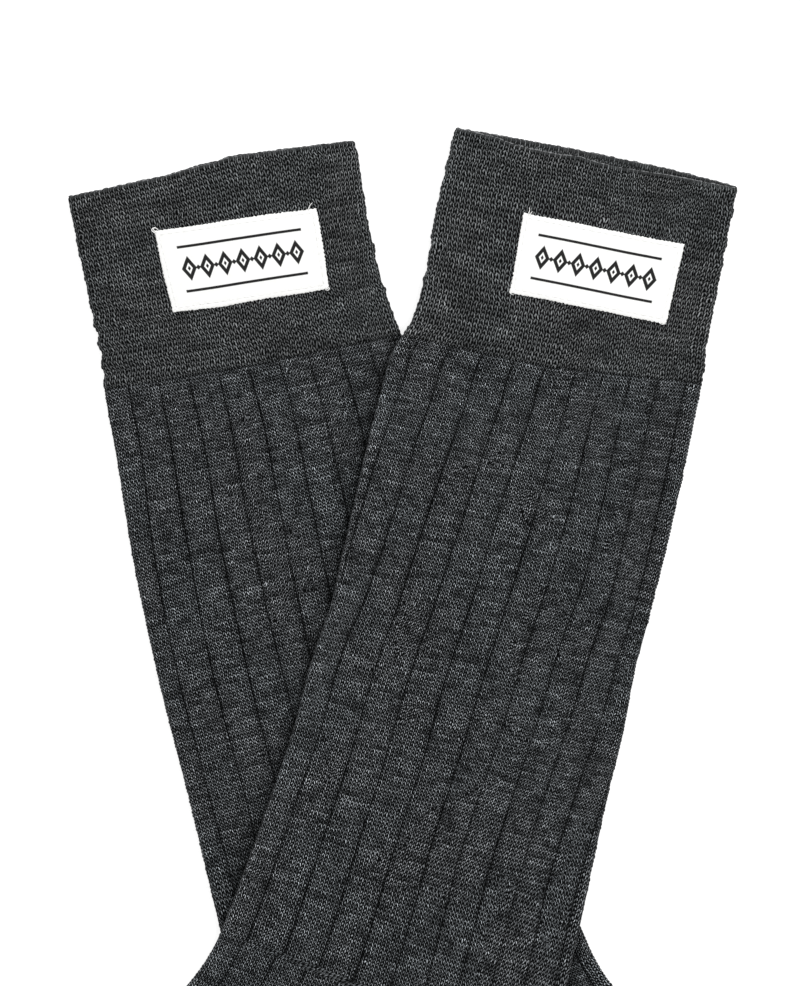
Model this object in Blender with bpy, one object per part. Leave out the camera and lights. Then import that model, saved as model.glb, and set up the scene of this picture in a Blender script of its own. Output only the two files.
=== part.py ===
"""A pair of ribbed crew socks laid flat, the right one across the left one.

Sizes are in millimetres and become metres where a mesh is made. +Z is up, and +Y points from the feet to
the cuffs. Each sock is drawn flat in its own coordinates first: down, along the leg from the middle of its
rim, and across, from the back of the leg (below zero) to the front. Then it is leaned over and placed.
"""

import math
from collections import namedtuple

import bmesh
import bpy
import numpy as np

MM = 0.001

# The cloth
CUFF_WALL = 1.5
LEG_WALL = 1.2
SLIT = 0.4
RIB_HEIGHT = 0.7
RIB_SHOULDER = 1.6
SHOULDER_HEIGHT = 0.85
GAP = 0.3

# How both socks lie: each leg leans towards the other one's, and their feet point away from each other
LEAN = 12.5
ORIGIN_X = 1.2
ORIGIN_Y = -86.9

# The leg, by its distance down from the rim
JOIN = 61.0
STEP_BELOW_JOIN = 1.5
LEG_END = 258.0
LEG_SPACING = 10.0
JOIN_SAG_FADES = 50.0
RIM_WAVE_FADES = 34.0

# The mouth of the cuff
RIM_ROUND = 0.3
RIM_ROUND_LENGTH = 0.8
MOUTH_LENGTH = 16.0

# The bend at the instep, and the foot's direction from the leg's own
INSTEP_RADIUS = 60.0
INSTEP_START = 9.0
FOOT_TURN = 64.0

# Where the ribs end: the heel's own half loses them first, the instep's half before the toe
RIB_SPACING_WIDTH = 98.0
HEEL_RIBS_END = 28.0
TOE_RIBS_START = 90.0
TOE_RIBS_END = 116.0

# A rib near a fold is pressed flat over this distance
FOLD_FADE = 3.0
FOLD_SQUEEZE = 2.5

# The upper sock falls to the surface beside the lower one
DRAPE_START = 2.0
DRAPE_LENGTH = 18.0

# The underside and the hollow need fewer columns than the ribbed face, and the hollow ends before the toe
PLAIN_COLUMNS = 12
TOE_CAVITY_ROWS = 4

# The label
LABEL_WIDTH = 49.8
LABEL_HEIGHT = 25.6
LABEL_WALL = 1.0
LABEL_COLUMNS = 10
LABEL_ROWS = 5

# down, back, front: the distances from the leg's middle line to its two folded edges
LEFT_EDGES = (
    (0.0, 45.6, 45.6),
    (30.0, 46.0, 43.8),
    (50.0, 46.2, 44.4),
    (62.0, 47.5, 46.2),
    (80.0, 48.2, 48.4),
    (110.0, 50.0, 49.6),
    (150.0, 50.5, 50.2),
    (190.0, 49.3, 52.4),
    (215.0, 48.8, 54.8),
    (242.0, 48.0, 58.4),
    (258.0, 46.9, 61.5),
)
RIGHT_EDGES = (
    (0.0, 44.8, 44.8),
    (30.0, 45.6, 45.0),
    (50.0, 46.2, 44.0),
    (62.0, 47.2, 45.2),
    (72.0, 47.4, 48.6),
    (85.0, 47.6, 49.6),
    (120.0, 47.4, 50.2),
    (136.0, 46.9, 50.3),
    (152.0, 46.2, 50.4),
    (172.0, 46.8, 52.6),
    (190.0, 46.4, 53.2),
    (215.0, 46.4, 55.7),
    (242.0, 46.4, 59.1),
    (258.0, 46.2, 61.5),
)

# share across, distance below a straight rim
LEFT_RIM = ((0.0, -1.1), (0.35, -1.2), (0.57, -2.5), (0.83, -0.5), (1.0, 1.1))
RIGHT_RIM = ((0.0, -0.4), (0.25, -1.6), (0.6, -1.3), (0.85, -0.4), (1.0, 0.2))

# turn in degrees, reach from the instep to the heel's outline
HEEL_ROWS = (
    (9.0, 109.0),
    (17.0, 115.5),
    (25.0, 124.0),
    (32.0, 131.0),
    (38.0, 134.0),
    (44.0, 132.0),
    (50.0, 124.0),
    (57.0, 110.5),
    (64.0, 100.0),
)

# along the foot from the end of the bend, instep edge, sole edge
FOOT_ROWS = (
    (14.0, 0.0, 95.0),
    (34.0, 0.0, 91.5),
    (56.0, 0.0, 90.0),
    (78.0, 0.2, 90.0),
    (98.0, 1.0, 90.0),
    (114.0, 3.2, 88.5),
    (127.0, 7.2, 85.5),
    (137.0, 13.0, 80.5),
    (143.5, 19.5, 74.5),
    (147.5, 27.0, 67.5),
    (149.5, 35.5, 59.0),
)

# The dark valleys between ribs: their share of the way from the back edge to the front edge,
# under the join, in the upper leg, in the lower leg and at the ankle
RIB_STATIONS = (75.0, 130.0, 160.0, 220.0)
LEFT_RIBS = (
    (0.080, 0.063, 0.061, 0.066),
    (0.181, 0.170, 0.168, 0.167),
    (0.282, 0.275, 0.272, 0.269),
    (0.378, 0.374, 0.375, 0.370),
    (0.481, 0.474, 0.473, 0.470),
    (0.584, 0.577, 0.574, 0.570),
    (0.684, 0.680, 0.675, 0.670),
    (0.783, 0.779, 0.775, 0.768),
    (0.882, 0.878, 0.873, 0.864),
    (0.970, 0.966, 0.962, 0.952),
)
RIGHT_RIBS = (
    (-0.040, -0.040, -0.020, 0.035),
    (0.055, 0.052, 0.069, 0.123),
    (0.145, 0.133, 0.162, 0.213),
    (0.233, 0.232, 0.260, 0.306),
    (0.325, 0.337, 0.363, 0.400),
    (0.414, 0.442, 0.465, 0.493),
    (0.515, 0.556, 0.578, 0.597),
    (0.620, 0.666, 0.690, 0.705),
    (0.725, 0.774, 0.800, 0.811),
    (0.835, 0.876, 0.914, 0.923),
    (0.940, 0.979, 0.997, 1.010),
)

# run from the rim at its start and end, share across at its start and end, half width, height:
# the long soft folds, a ridge above zero and a trough below
LEFT_FOLDS = (
    (64.0, 120.0, 0.90, 0.82, 14.0, -0.35),
    (20.0, 58.0, 0.10, 0.04, 10.0, 0.35),
    (150.0, 235.0, 0.12, 0.22, 12.0, 0.35),
)
RIGHT_FOLDS = (
    (58.0, 100.0, 0.92, 0.80, 12.0, -0.40),
    (140.0, 240.0, 0.05, 0.09, 9.0, 0.55),
    (175.0, 255.0, 0.45, 0.30, 16.0, 0.35),
)

# side is +1 where the foot points to +X; join_sag lists how far the join lies below JOIN at the back
# edge, in the middle and at the front edge; rim_drop is how far the front of the rim lies below the back
Plan = namedtuple("Plan", "name side rim_x rim_y edges rim ribs folds join_sag rim_drop gape")
LEFT = Plan(
    name="left_sock",
    side=1,
    rim_x=-58.4,
    rim_y=100.6,
    edges=LEFT_EDGES,
    rim=LEFT_RIM,
    ribs=LEFT_RIBS,
    folds=LEFT_FOLDS,
    join_sag=(-1.4, 1.2, 1.8),
    rim_drop=0.4,
    gape=0.3,
)
RIGHT = Plan(
    name="right_sock",
    side=-1,
    rim_x=60.9,
    rim_y=103.9,
    edges=RIGHT_EDGES,
    rim=RIGHT_RIM,
    ribs=RIGHT_RIBS,
    folds=RIGHT_FOLDS,
    join_sag=(0.0, 5.4, 5.8),
    rim_drop=3.1,
    gape=1.2,
)

# middle down and across from the rim's middle, turn in degrees against the sock's own lean
Tag = namedtuple("Tag", "name plan down across turn")
LEFT_TAG = Tag("left_label", LEFT, 30.1, 3.3, -4.1)
RIGHT_TAG = Tag("right_label", RIGHT, 33.4, -7.1, -1.4)

# One row of the sock between its two folded edges, each edge as (down, across)
Station = namedtuple("Station", "run back front wall ribs heel_ribs round")


def smooth_step(value):
    """Zero to one along a soft ramp."""
    t = np.clip(value, 0.0, 1.0)
    return t * t * (3.0 - 2.0 * t)


def between(table, at, column):
    """One column of a table at any distance, on a smooth curve through its rows."""
    rows = np.array(table)
    x, y = rows[:, 0], rows[:, column]
    slope = np.gradient(y, x)
    at = np.clip(at, x[0], x[-1])
    i = np.clip(np.searchsorted(x, at, side="right") - 1, 0, len(x) - 2)
    step = x[i + 1] - x[i]
    t = (at - x[i]) / step
    start = (1.0 + 2.0 * t) * (1.0 - t) ** 2 * y[i] + t * (1.0 - t) ** 2 * step * slope[i]
    end = t * t * (3.0 - 2.0 * t) * y[i + 1] + t * t * (t - 1.0) * step * slope[i + 1]
    return start + end


def place(plan, down, across):
    """A point of the flat drawing as x and y in millimetres."""
    lean = math.radians(LEAN)
    x = plan.rim_x + plan.side * (down * math.sin(lean) + across * math.cos(lean))
    y = plan.rim_y - down * math.cos(lean) + across * math.sin(lean)
    return np.stack([x - ORIGIN_X, y - ORIGIN_Y], axis=-1)


def row_sag(plan, run, share):
    """How far a row of stitches hangs below a straight one, near the rim and near the join."""
    rim_shares, rim_downs = zip(*plan.rim)
    at_rim = np.interp(share, rim_shares, rim_downs) * (1.0 - smooth_step(run / RIM_WAVE_FADES))
    at_join = np.interp(share, (0.0, 0.5, 1.0), plan.join_sag)
    above = smooth_step(run / JOIN)
    below = 1.0 - smooth_step((run - JOIN) / JOIN_SAG_FADES)
    return at_rim + at_join * (above if run <= JOIN else below)


def leg_station(plan, run, wall, ribs, rounding):
    """A straight row across the cuff or the leg."""
    back_down = run + row_sag(plan, run, 0.0)
    front_down = run + row_sag(plan, run, 1.0)
    back = np.array([back_down, -between(plan.edges, max(back_down, 0.0), 1)])
    front = np.array([front_down, between(plan.edges, max(front_down, 0.0), 2)])
    return Station(run, back, front, wall, ribs, 1.0, rounding)


def instep_point(turn):
    """The front edge on the bend from the leg into the foot, where the sock has turned this far."""
    start = math.radians(INSTEP_START)
    down = LEG_END + INSTEP_RADIUS * (math.sin(turn) - math.sin(start))
    across = LEFT_EDGES[-1][2] + INSTEP_RADIUS * (math.cos(start) - math.cos(turn))
    return np.array([down, across])


def stations(plan):
    """All rows of one sock, from the rim to the toe."""
    rows = [
        leg_station(plan, 0.0, CUFF_WALL, 0.0, RIM_ROUND),
        leg_station(plan, RIM_ROUND_LENGTH, CUFF_WALL, 0.0, 0.0),
    ]
    rows += [leg_station(plan, run, CUFF_WALL, 0.0, 0.0) for run in (8.0, 20.0, 34.0, 48.0, JOIN)]
    first_rib = JOIN + STEP_BELOW_JOIN
    count = round((LEG_END - first_rib) / LEG_SPACING)
    for i in range(count):
        run = first_rib + (LEG_END - first_rib) * i / count
        rows.append(leg_station(plan, run, LEG_WALL, 1.0, 0.0))

    for degrees, reach in HEEL_ROWS:
        turn = math.radians(degrees)
        front = instep_point(turn)
        soleward = np.array([math.sin(turn), -math.cos(turn)])
        heel_ribs = 1.0 - smooth_step((degrees - INSTEP_START) / (HEEL_RIBS_END - INSTEP_START))
        run = LEG_END + INSTEP_RADIUS * (turn - math.radians(INSTEP_START))
        rows.append(Station(run, front + reach * soleward, front, LEG_WALL, 1.0, heel_ribs, 0.0))

    turn = math.radians(FOOT_TURN)
    start = instep_point(turn)
    toeward = np.array([math.cos(turn), math.sin(turn)])
    soleward = np.array([math.sin(turn), -math.cos(turn)])
    foot_start = rows[-1].run
    for along, instep, sole in FOOT_ROWS:
        ribs = 1.0 - smooth_step((along - TOE_RIBS_START) / (TOE_RIBS_END - TOE_RIBS_START))
        edge = start + along * toeward
        last = along == FOOT_ROWS[-1][0]
        rounding = 0.25 * LEG_WALL if last else 0.0
        front = edge + instep * soleward
        back = edge + sole * soleward
        rows.append(Station(foot_start + along, back, front, LEG_WALL, ribs, 0.0, rounding))
    return rows


def fold_height(plan, run, share, width):
    """The height of the long soft folds at one place on the upper face."""
    height = 0.0
    for start, end, share_start, share_end, half_width, top in plan.folds:
        t = (run - start) / (end - start)
        centre = share_start + (share_end - share_start) * np.clip(t, 0.0, 1.0)
        lengthways = smooth_step(min(t, 1.0 - t) * 4.0)
        sideways = 1.0 - smooth_step(abs(share - centre) * width / half_width)
        height += top * lengthways * sideways
    return height


def rib_columns(plan, station, width, fold):
    """The upper face's columns: each valley between two ribs and its shoulders, as (distance, height)."""
    foot_scale = RIB_SPACING_WIDTH / width
    valleys = []
    for line in plan.ribs:
        share = float(np.interp(station.run, RIB_STATIONS, line))
        amount = station.ribs if share > 0.5 else station.ribs * station.heel_ribs
        if station.run > LEG_END:
            middle = 1.0 - 0.5 * foot_scale
            share = 1.0 - (1.0 - share) * foot_scale if share > 0.5 else share * 2.0 * middle
        valleys.append((share * width, amount))

    profile = []
    for i, (at, amount) in enumerate(valleys):
        depth = smooth_step(min(at, width - at) / FOLD_FADE)
        shoulder = 1.0 - (1.0 - SHOULDER_HEIGHT) * depth
        profile += [(at - RIB_SHOULDER, amount * shoulder), (at, amount * (1.0 - depth))]
        profile.append((at + RIB_SHOULDER, amount * shoulder))
        if i + 1 < len(valleys):
            next_at, next_amount = valleys[i + 1]
            profile.append(((at + next_at) / 2.0, (amount + next_amount) / 2.0))

    columns = []
    for at, crown in profile:
        distance = inside_folds(at, width, fold)
        clear_of_fold = smooth_step((min(distance, width - distance) - fold) / FOLD_FADE)
        swell = fold_height(plan, station.run, distance / width, width)
        columns.append((distance, (RIB_HEIGHT * crown + swell) * clear_of_fold))
    return columns


def inside_folds(distance, width, fold):
    """Keep a column on the upper face: those that run off it are pressed together beside the fold."""
    limit = fold + FOLD_SQUEEZE
    if distance < limit:
        return fold + FOLD_SQUEEZE * math.exp((distance - limit) / FOLD_SQUEEZE)
    if distance > width - limit:
        return width - fold - FOLD_SQUEEZE * math.exp((width - limit - distance) / FOLD_SQUEEZE)
    return distance


def outer_ring(plan, station):
    """The outside of the tube at one row, once round from the back fold: upper face, then underside."""
    width = float(np.linalg.norm(station.front - station.back))
    thick = 2.0 * station.wall + SLIT
    low, high = station.round, thick - station.round
    fold = (high - low) / 2.0
    middle = (low + high) / 2.0
    slant = fold * math.sin(math.radians(45.0))
    start, end = station.round, width - station.round
    columns = rib_columns(plan, station, width, station.round + fold)
    upper = [(start, middle), (start + fold - slant, middle + slant), (start + fold, high)]
    upper += [(distance, high + height) for distance, height in columns]
    upper += [(end - fold, high), (end - fold + slant, middle + slant), (end, middle)]
    lower = [(end - fold + slant, middle - slant), (end - fold, low)]
    for i in range(PLAIN_COLUMNS, 0, -1):
        lower.append((width * i / (PLAIN_COLUMNS + 1.0), low))
    lower += [(start + fold, low), (start + fold - slant, middle - slant)]
    return width, upper, lower


def inner_ring(station):
    """The thin hollow between the two walls at one row, once round from the back fold."""
    width = float(np.linalg.norm(station.front - station.back))
    floor, roof = station.wall, station.wall + SLIT
    start, end = station.wall, width - station.wall
    middle = (floor + roof) / 2.0
    spread = [start + SLIT / 2.0]
    spread += [width * i / (PLAIN_COLUMNS + 1.0) for i in range(1, PLAIN_COLUMNS + 1)]
    spread += [end - SLIT / 2.0]
    upper = [(start, middle)] + [(distance, roof) for distance in spread] + [(end, middle)]
    lower = [(distance, floor) for distance in reversed(spread)]
    return width, upper, lower


def ring_points(plan, station, ring, lift):
    """A ring's points in millimetres, and each one's share of the way round, from 0 to 1."""
    width, upper, lower = ring
    shares = np.array([distance / width for distance, height in upper + lower])
    heights = np.array([height for distance, height in upper + lower])
    on_top = np.arange(len(shares)) < len(upper)
    sag = np.array([row_sag(plan, station.run, share) for share in shares])
    straight = row_sag(plan, station.run, 0.0) * (1.0 - shares) + row_sag(plan, station.run, 1.0) * shares
    mouth = max(0.0, 1.0 - station.run / MOUTH_LENGTH) * np.sin(math.pi * shares) * on_top
    flat = station.back + np.outer(shares, station.front - station.back)
    down = flat[:, 0] + sag - straight + plan.rim_drop * mouth
    plane = place(plan, down, flat[:, 1])
    z = heights + plan.gape * mouth + lift(plane)
    round_trip = np.where(on_top, shares / 2.0, 1.0 - shares / 2.0)
    return np.column_stack([plane, z]), round_trip


def strip(first, second):
    """Triangles between two chains of (place, vertex) that run the same way."""
    faces = []
    i, j = 0, 0
    while i < len(first) - 1 or j < len(second) - 1:
        if j == len(second) - 1 or (i < len(first) - 1 and first[i + 1][0] <= second[j + 1][0]):
            corners = (first[i][1], first[i + 1][1], second[j][1])
            i += 1
        else:
            corners = (first[i][1], second[j + 1][1], second[j][1])
            j += 1
        if len(set(corners)) == 3:
            faces.append(corners)
    return faces


def tube(rings):
    """Faces of a tube through rings of the same size, and the vertex numbers of each ring."""
    faces = []
    size = len(rings[0])
    numbers = [list(range(i * size, (i + 1) * size)) for i in range(len(rings))]
    for this, following in zip(numbers, numbers[1:]):
        for i in range(size):
            j = (i + 1) % size
            faces.append((this[i], following[i], following[j], this[j]))
    return faces, numbers


def closing_faces(numbers, top_count, shares):
    """Faces that close a ring at the toe, from its upper chain to its lower one."""
    upper = [(shares[i], numbers[i]) for i in range(top_count)]
    lower_order = [0] + list(range(len(numbers) - 1, top_count - 1, -1)) + [top_count - 1]
    lower = [(shares[i], numbers[i]) for i in lower_order]
    return strip(upper, lower)


def add_object(name, points, faces, material):
    """A closed mesh object from points in millimetres, with its faces turned outwards."""
    mesh = bpy.data.meshes.new(name)
    mesh.from_pydata([tuple(point) for point in np.asarray(points) * MM], [], faces)
    work = bmesh.new()
    work.from_mesh(mesh)
    bmesh.ops.recalc_face_normals(work, faces=work.faces)
    bmesh.ops.triangulate(work, faces=work.faces)
    work.to_mesh(mesh)
    work.free()
    mesh.shade_smooth()
    mesh.set_sharp_from_angle(angle=math.radians(50.0))
    mesh.materials.append(material)
    piece = bpy.data.objects.new(name, mesh)
    bpy.context.scene.collection.objects.link(piece)
    return piece


def add_sock(plan, lift, material):
    """One sock: a flattened tube with a thin hollow that opens at the rim and is closed at the toe."""
    rows = stations(plan)
    outer_rings = [outer_ring(plan, row) for row in rows]
    inner_rows = rows[:-TOE_CAVITY_ROWS]
    inner_rings = [inner_ring(row) for row in inner_rows]
    outer = [ring_points(plan, row, ring, lift) for row, ring in zip(rows, outer_rings)]
    inner = [ring_points(plan, row, ring, lift) for row, ring in zip(inner_rows, inner_rings)]
    outer_faces, outer_numbers = tube([points for points, around in outer])
    inner_faces, inner_numbers = tube([points for points, around in inner])
    offset = sum(len(points) for points, around in outer)
    inner_faces = [tuple(i + offset for i in reversed(face)) for face in inner_faces]
    inner_numbers = [[i + offset for i in ring] for ring in inner_numbers]

    mouth = []
    for numbers, around in ((outer_numbers[0], outer[0][1]), (inner_numbers[0], inner[0][1])):
        loop = sorted(zip(around.tolist(), numbers))
        mouth.append(loop + [(1.0, loop[0][1])])
    faces = outer_faces + inner_faces + strip(mouth[0], mouth[1])

    for rings, numbers in ((outer_rings, outer_numbers), (inner_rings, inner_numbers)):
        width, upper, lower = rings[-1]
        shares = [distance / width for distance, height in upper + lower]
        faces += closing_faces(numbers[-1], len(upper), shares)

    points = np.concatenate([points for points, around in outer + inner])
    return add_object(plan.name, points, faces, material)


def outline(plan):
    """The sock's outline seen from above, once round."""
    rows = stations(plan)
    back = [place(plan, row.back[0], row.back[1]) for row in rows]
    front = [place(plan, row.front[0], row.front[1]) for row in rows]
    return np.array(front + back[::-1])


def distance_outside(points, corners):
    """How far each point lies outside a closed outline; zero inside it."""
    starts = corners
    ends = np.roll(corners, -1, axis=0)
    along = ends - starts
    to_point = points[:, None, :] - starts[None, :, :]
    t = np.clip((to_point * along).sum(axis=2) / (along * along).sum(axis=1), 0.0, 1.0)
    nearest = np.linalg.norm(to_point - t[:, :, None] * along, axis=2).min(axis=1)
    spans = (starts[:, 1] > points[:, None, 1]) != (ends[:, 1] > points[:, None, 1])
    rise = np.where(along[:, 1] == 0.0, 1.0, along[:, 1])
    crossing = starts[:, 0] + (points[:, None, 1] - starts[:, 1]) * along[:, 0] / rise
    inside = (spans & (points[:, None, 0] < crossing)).sum(axis=1) % 2 == 1
    return np.where(inside, 0.0, nearest)


def on_the_surface(points):
    """The lower sock lies flat all over."""
    return np.zeros(len(points))


def over(lower):
    """How high the upper sock lies: on the lower one, and falling to the surface beside it."""
    stack = 2.0 * LEG_WALL + SLIT + RIB_HEIGHT + max(fold[5] for fold in lower.folds) + GAP
    lower_outline = outline(lower)

    def lift(points):
        beside = distance_outside(points, lower_outline) - DRAPE_START
        return stack * (1.0 - smooth_step(beside / DRAPE_LENGTH))

    return lift


def add_label(tag, material):
    """A thin rectangle on the cuff's upper face, made from that face's points and moved out."""
    turn = math.radians(tag.turn)
    cuff_face = 2.0 * CUFF_WALL + SLIT
    points = []
    for level in (0.0, LABEL_WALL):
        for row in range(LABEL_ROWS + 1):
            for column in range(LABEL_COLUMNS + 1):
                right = LABEL_WIDTH * (column / LABEL_COLUMNS - 0.5)
                below = LABEL_HEIGHT * (row / LABEL_ROWS - 0.5)
                down = tag.down + below * math.cos(turn) - right * math.sin(turn)
                across = tag.across + right * math.cos(turn) + below * math.sin(turn)
                x, y = place(tag.plan, down, across)
                points.append((x, y, cuff_face + GAP + level))
    row_size = LABEL_COLUMNS + 1
    layer = row_size * (LABEL_ROWS + 1)
    faces = []
    for row in range(LABEL_ROWS):
        for column in range(LABEL_COLUMNS):
            corner = row * row_size + column
            bottom = (corner, corner + row_size, corner + row_size + 1, corner + 1)
            faces.append(bottom)
            faces.append(tuple(i + layer for i in reversed(bottom)))
    rim = list(range(row_size))
    rim += [row * row_size + LABEL_COLUMNS for row in range(1, LABEL_ROWS + 1)]
    rim += [LABEL_ROWS * row_size + column for column in range(LABEL_COLUMNS - 1, -1, -1)]
    rim += [row * row_size for row in range(LABEL_ROWS - 1, 0, -1)]
    for this, following in zip(rim, rim[1:] + rim[:1]):
        faces.append((this, following, following + layer, this + layer))
    return add_object(tag.name, points, faces, material)


def add_material(name, color, roughness):
    """A plain cloth."""
    material = bpy.data.materials.new(name)
    material.use_nodes = True
    shader = material.node_tree.nodes["Principled BSDF"]
    shader.inputs["Base Color"].default_value = (*color, 1.0)
    shader.inputs["Roughness"].default_value = roughness
    shader.inputs["Metallic"].default_value = 0.0
    return material


for old in list(bpy.data.objects):
    bpy.data.objects.remove(old, do_unlink=True)

left_wool = add_material("left wool", (0.039, 0.041, 0.043), 0.95)
right_wool = add_material("right wool", (0.042, 0.044, 0.046), 0.95)
left_tape = add_material("left label tape", (0.86, 0.86, 0.85), 0.8)
right_tape = add_material("right label tape", (0.86, 0.86, 0.85), 0.8)

add_sock(LEFT, on_the_surface, left_wool)
add_sock(RIGHT, over(LEFT), right_wool)
add_label(LEFT_TAG, left_tape)
add_label(RIGHT_TAG, right_tape)
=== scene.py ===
"""A pair of charcoal ribbed crew socks laid flat, the right one across the left one, each with a label.

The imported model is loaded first, and everything lies in its frame. Each sock is drawn flat in its own
coordinates in millimetres: down, along the leg from the middle of its rim, and across, from the back of the
leg (below zero) to the front. It is then leaned over, placed and turned into metres where its mesh is made.
+Z is up, and +Y points from the feet to the cuffs.
"""

import math
import random
from collections import namedtuple

import bpy
import numpy as np
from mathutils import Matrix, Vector, noise


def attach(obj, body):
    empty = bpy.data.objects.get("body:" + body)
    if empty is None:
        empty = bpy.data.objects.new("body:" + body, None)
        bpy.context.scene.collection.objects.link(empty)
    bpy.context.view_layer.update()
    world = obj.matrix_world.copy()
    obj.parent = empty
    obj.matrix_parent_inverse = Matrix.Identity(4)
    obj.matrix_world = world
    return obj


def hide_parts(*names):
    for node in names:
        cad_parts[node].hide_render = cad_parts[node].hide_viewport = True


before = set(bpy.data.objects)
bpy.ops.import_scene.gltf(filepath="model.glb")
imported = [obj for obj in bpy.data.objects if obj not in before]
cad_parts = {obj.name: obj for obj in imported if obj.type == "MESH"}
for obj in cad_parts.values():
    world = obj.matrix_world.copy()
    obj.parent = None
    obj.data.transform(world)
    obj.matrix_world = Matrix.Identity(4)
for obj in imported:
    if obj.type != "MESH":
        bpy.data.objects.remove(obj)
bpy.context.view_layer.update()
MM = 0.001

# The view, the table and the light
# A camera straight above the pair, soft daylight from all round with a little more of it from the upper
# right, and a white table top that glows, so that no shadow darkens it beside the cloth.
VIEW_CENTRE = (-1.2, 86.9)
VIEW_HEIGHT = 305.7
CLOTH_LEVEL = 3.5
LENS = 200.0
SENSOR = 36.0
FARTHEST_SEEN = 20.0

camera_data = bpy.data.cameras.new("camera")
camera_data.type = "PERSP"
camera_data.lens = LENS
camera_data.sensor_width = SENSOR
camera_data.clip_end = FARTHEST_SEEN
camera = bpy.data.objects.new("camera", camera_data)
camera_height = CLOTH_LEVEL + VIEW_HEIGHT * LENS / SENSOR
camera.location = (VIEW_CENTRE[0] * MM, VIEW_CENTRE[1] * MM, camera_height * MM)
bpy.context.scene.collection.objects.link(camera)
bpy.context.scene.camera = camera
bpy.context.scene.view_settings.view_transform = "Standard"

TABLE_HALF = 3.0
TABLE_DROP = 0.0003
TABLE_LOOK = {
    "Base Color": (0.5, 0.5, 0.5, 1.0),
    "Roughness": 0.9,
    "Specular IOR Level": 0.1,
    "Emission Color": (1.0, 1.0, 1.0, 1.0),
    "Emission Strength": 0.7,
}
DAYLIGHT = {"Color": (1.0, 1.0, 1.0, 1.0), "Strength": 0.62}


def set_sockets(node, values):
    """Give a node's own sockets their values."""
    for name, value in values.items():
        node.inputs[name].default_value = value


table_mesh = bpy.data.meshes.new("table")
table_corners = [(-1, -1), (1, -1), (1, 1), (-1, 1)]
table_points = [(x * TABLE_HALF, y * TABLE_HALF, -TABLE_DROP) for x, y in table_corners]
table_mesh.from_pydata(table_points, [], [(0, 1, 2, 3)])
table = bpy.data.objects.new("table", table_mesh)
bpy.context.scene.collection.objects.link(table)
table_paint = bpy.data.materials.new("white table")
table_paint.use_nodes = True
set_sockets(table_paint.node_tree.nodes["Principled BSDF"], TABLE_LOOK)
table_mesh.materials.append(table_paint)

world = bpy.data.worlds.new("daylight")
world.use_nodes = True
set_sockets(world.node_tree.nodes["Background"], DAYLIGHT)
bpy.context.scene.world = world

# Two soft boxes: where each hangs in metres, its width and its power in watts, and the point they face
Lamp = namedtuple("Lamp", "name place width power")
LAMPS = (
    Lamp("window_right", (0.75, 0.95, 1.15), 0.7, 16.0),
    Lamp("window_left", (-1.0, 0.7, 1.3), 0.9, 7.0),
)
LAMP_AIM = (0.0, 0.05, 0.0)
for lamp in LAMPS:
    light = bpy.data.lights.new(lamp.name, "AREA")
    light.shape = "SQUARE"
    light.size = lamp.width
    light.energy = lamp.power
    holder = bpy.data.objects.new(lamp.name, light)
    holder.location = lamp.place
    aim = Vector(LAMP_AIM) - Vector(lamp.place)
    holder.rotation_euler = aim.to_track_quat("-Z", "Y").to_euler()
    bpy.context.scene.collection.objects.link(holder)

# The left sock
# One knitted tube of heathered charcoal wool: a plain coarse cuff, a leg in wide flat ribs with narrow
# valleys between them, a turned heel and a foot with a closed toe. It lies flat, with its foot to the right.

# Thicknesses of the flat tube and of its cloth, the lean of a sock, and the frame's origin in the drawing
CUFF_THICK = 3.4
CUFF_WALL = 1.5
LEG_THICK = 2.8
LEG_WALL = 1.2
RIB_HEIGHT = 0.7
LEAN = math.radians(12.5)
ORIGIN_X = 1.2
ORIGIN_Y = -86.9

# Down the sock from its rim: the join of cuff and leg, the mouth, the ankle, the bend at the heel, the foot
# and where its ribs end, and how uneven the folded edges are
JOIN = 61.0
JOIN_SAG_FADES = 50.0
RIM_WAVE_FADES = 34.0
MOUTH_LENGTH = 16.0
ANKLE_START = 200.0
LEG_END = 258.0
INSTEP_RADIUS = 60.0
BEND_START = math.radians(9.0)
BEND_END = math.radians(64.0)
HEEL_RIBS_END = math.radians(28.0)
FOOT_LENGTH = 149.5
TOE_RIBS_START = 90.0
TOE_RIBS_END = 116.0
RIB_SPACING_WIDTH = 98.0
NARROWEST_SPACING = 86.0
TOE_END_NARROWS = 6.5
CUFF_EDGE_UNEVEN = 0.75
LEG_EDGE_UNEVEN = 0.22
EDGE_UNEVEN_RATE = 0.31
BACK_EDGE_SEED = 2.0
FRONT_EDGE_SEED = 9.0
RIBS_ROUND = 20

# The leg: distance down it, and from its middle line there to its back edge and to its front edge
LEFT_EDGES = (
    (0.0, 45.6, 45.6),
    (30.0, 46.0, 43.8),
    (50.0, 46.2, 44.4),
    (62.0, 47.5, 46.2),
    (80.0, 48.2, 48.4),
    (110.0, 50.0, 49.6),
    (150.0, 50.5, 50.2),
    (190.0, 49.3, 52.4),
    (215.0, 48.8, 54.8),
    (242.0, 48.0, 58.4),
    (258.0, 46.9, 61.5),
)

# The rim: share across, and distance below a straight rim
LEFT_RIM = (
    (0.0, -1.1),
    (0.35, -1.2),
    (0.45, -2.0),
    (0.525, -2.0),
    (0.552, -2.6),
    (0.60, -2.45),
    (0.83, -0.5),
    (1.0, 1.1),
)

# The bend: turn in degrees, and reach from the instep to the heel's outline
HEEL_ROWS = (
    (9.0, 109.0),
    (17.0, 115.5),
    (25.0, 124.0),
    (32.0, 131.0),
    (38.0, 134.0),
    (44.0, 132.0),
    (50.0, 124.0),
    (57.0, 110.5),
    (64.0, 100.0),
)

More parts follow.
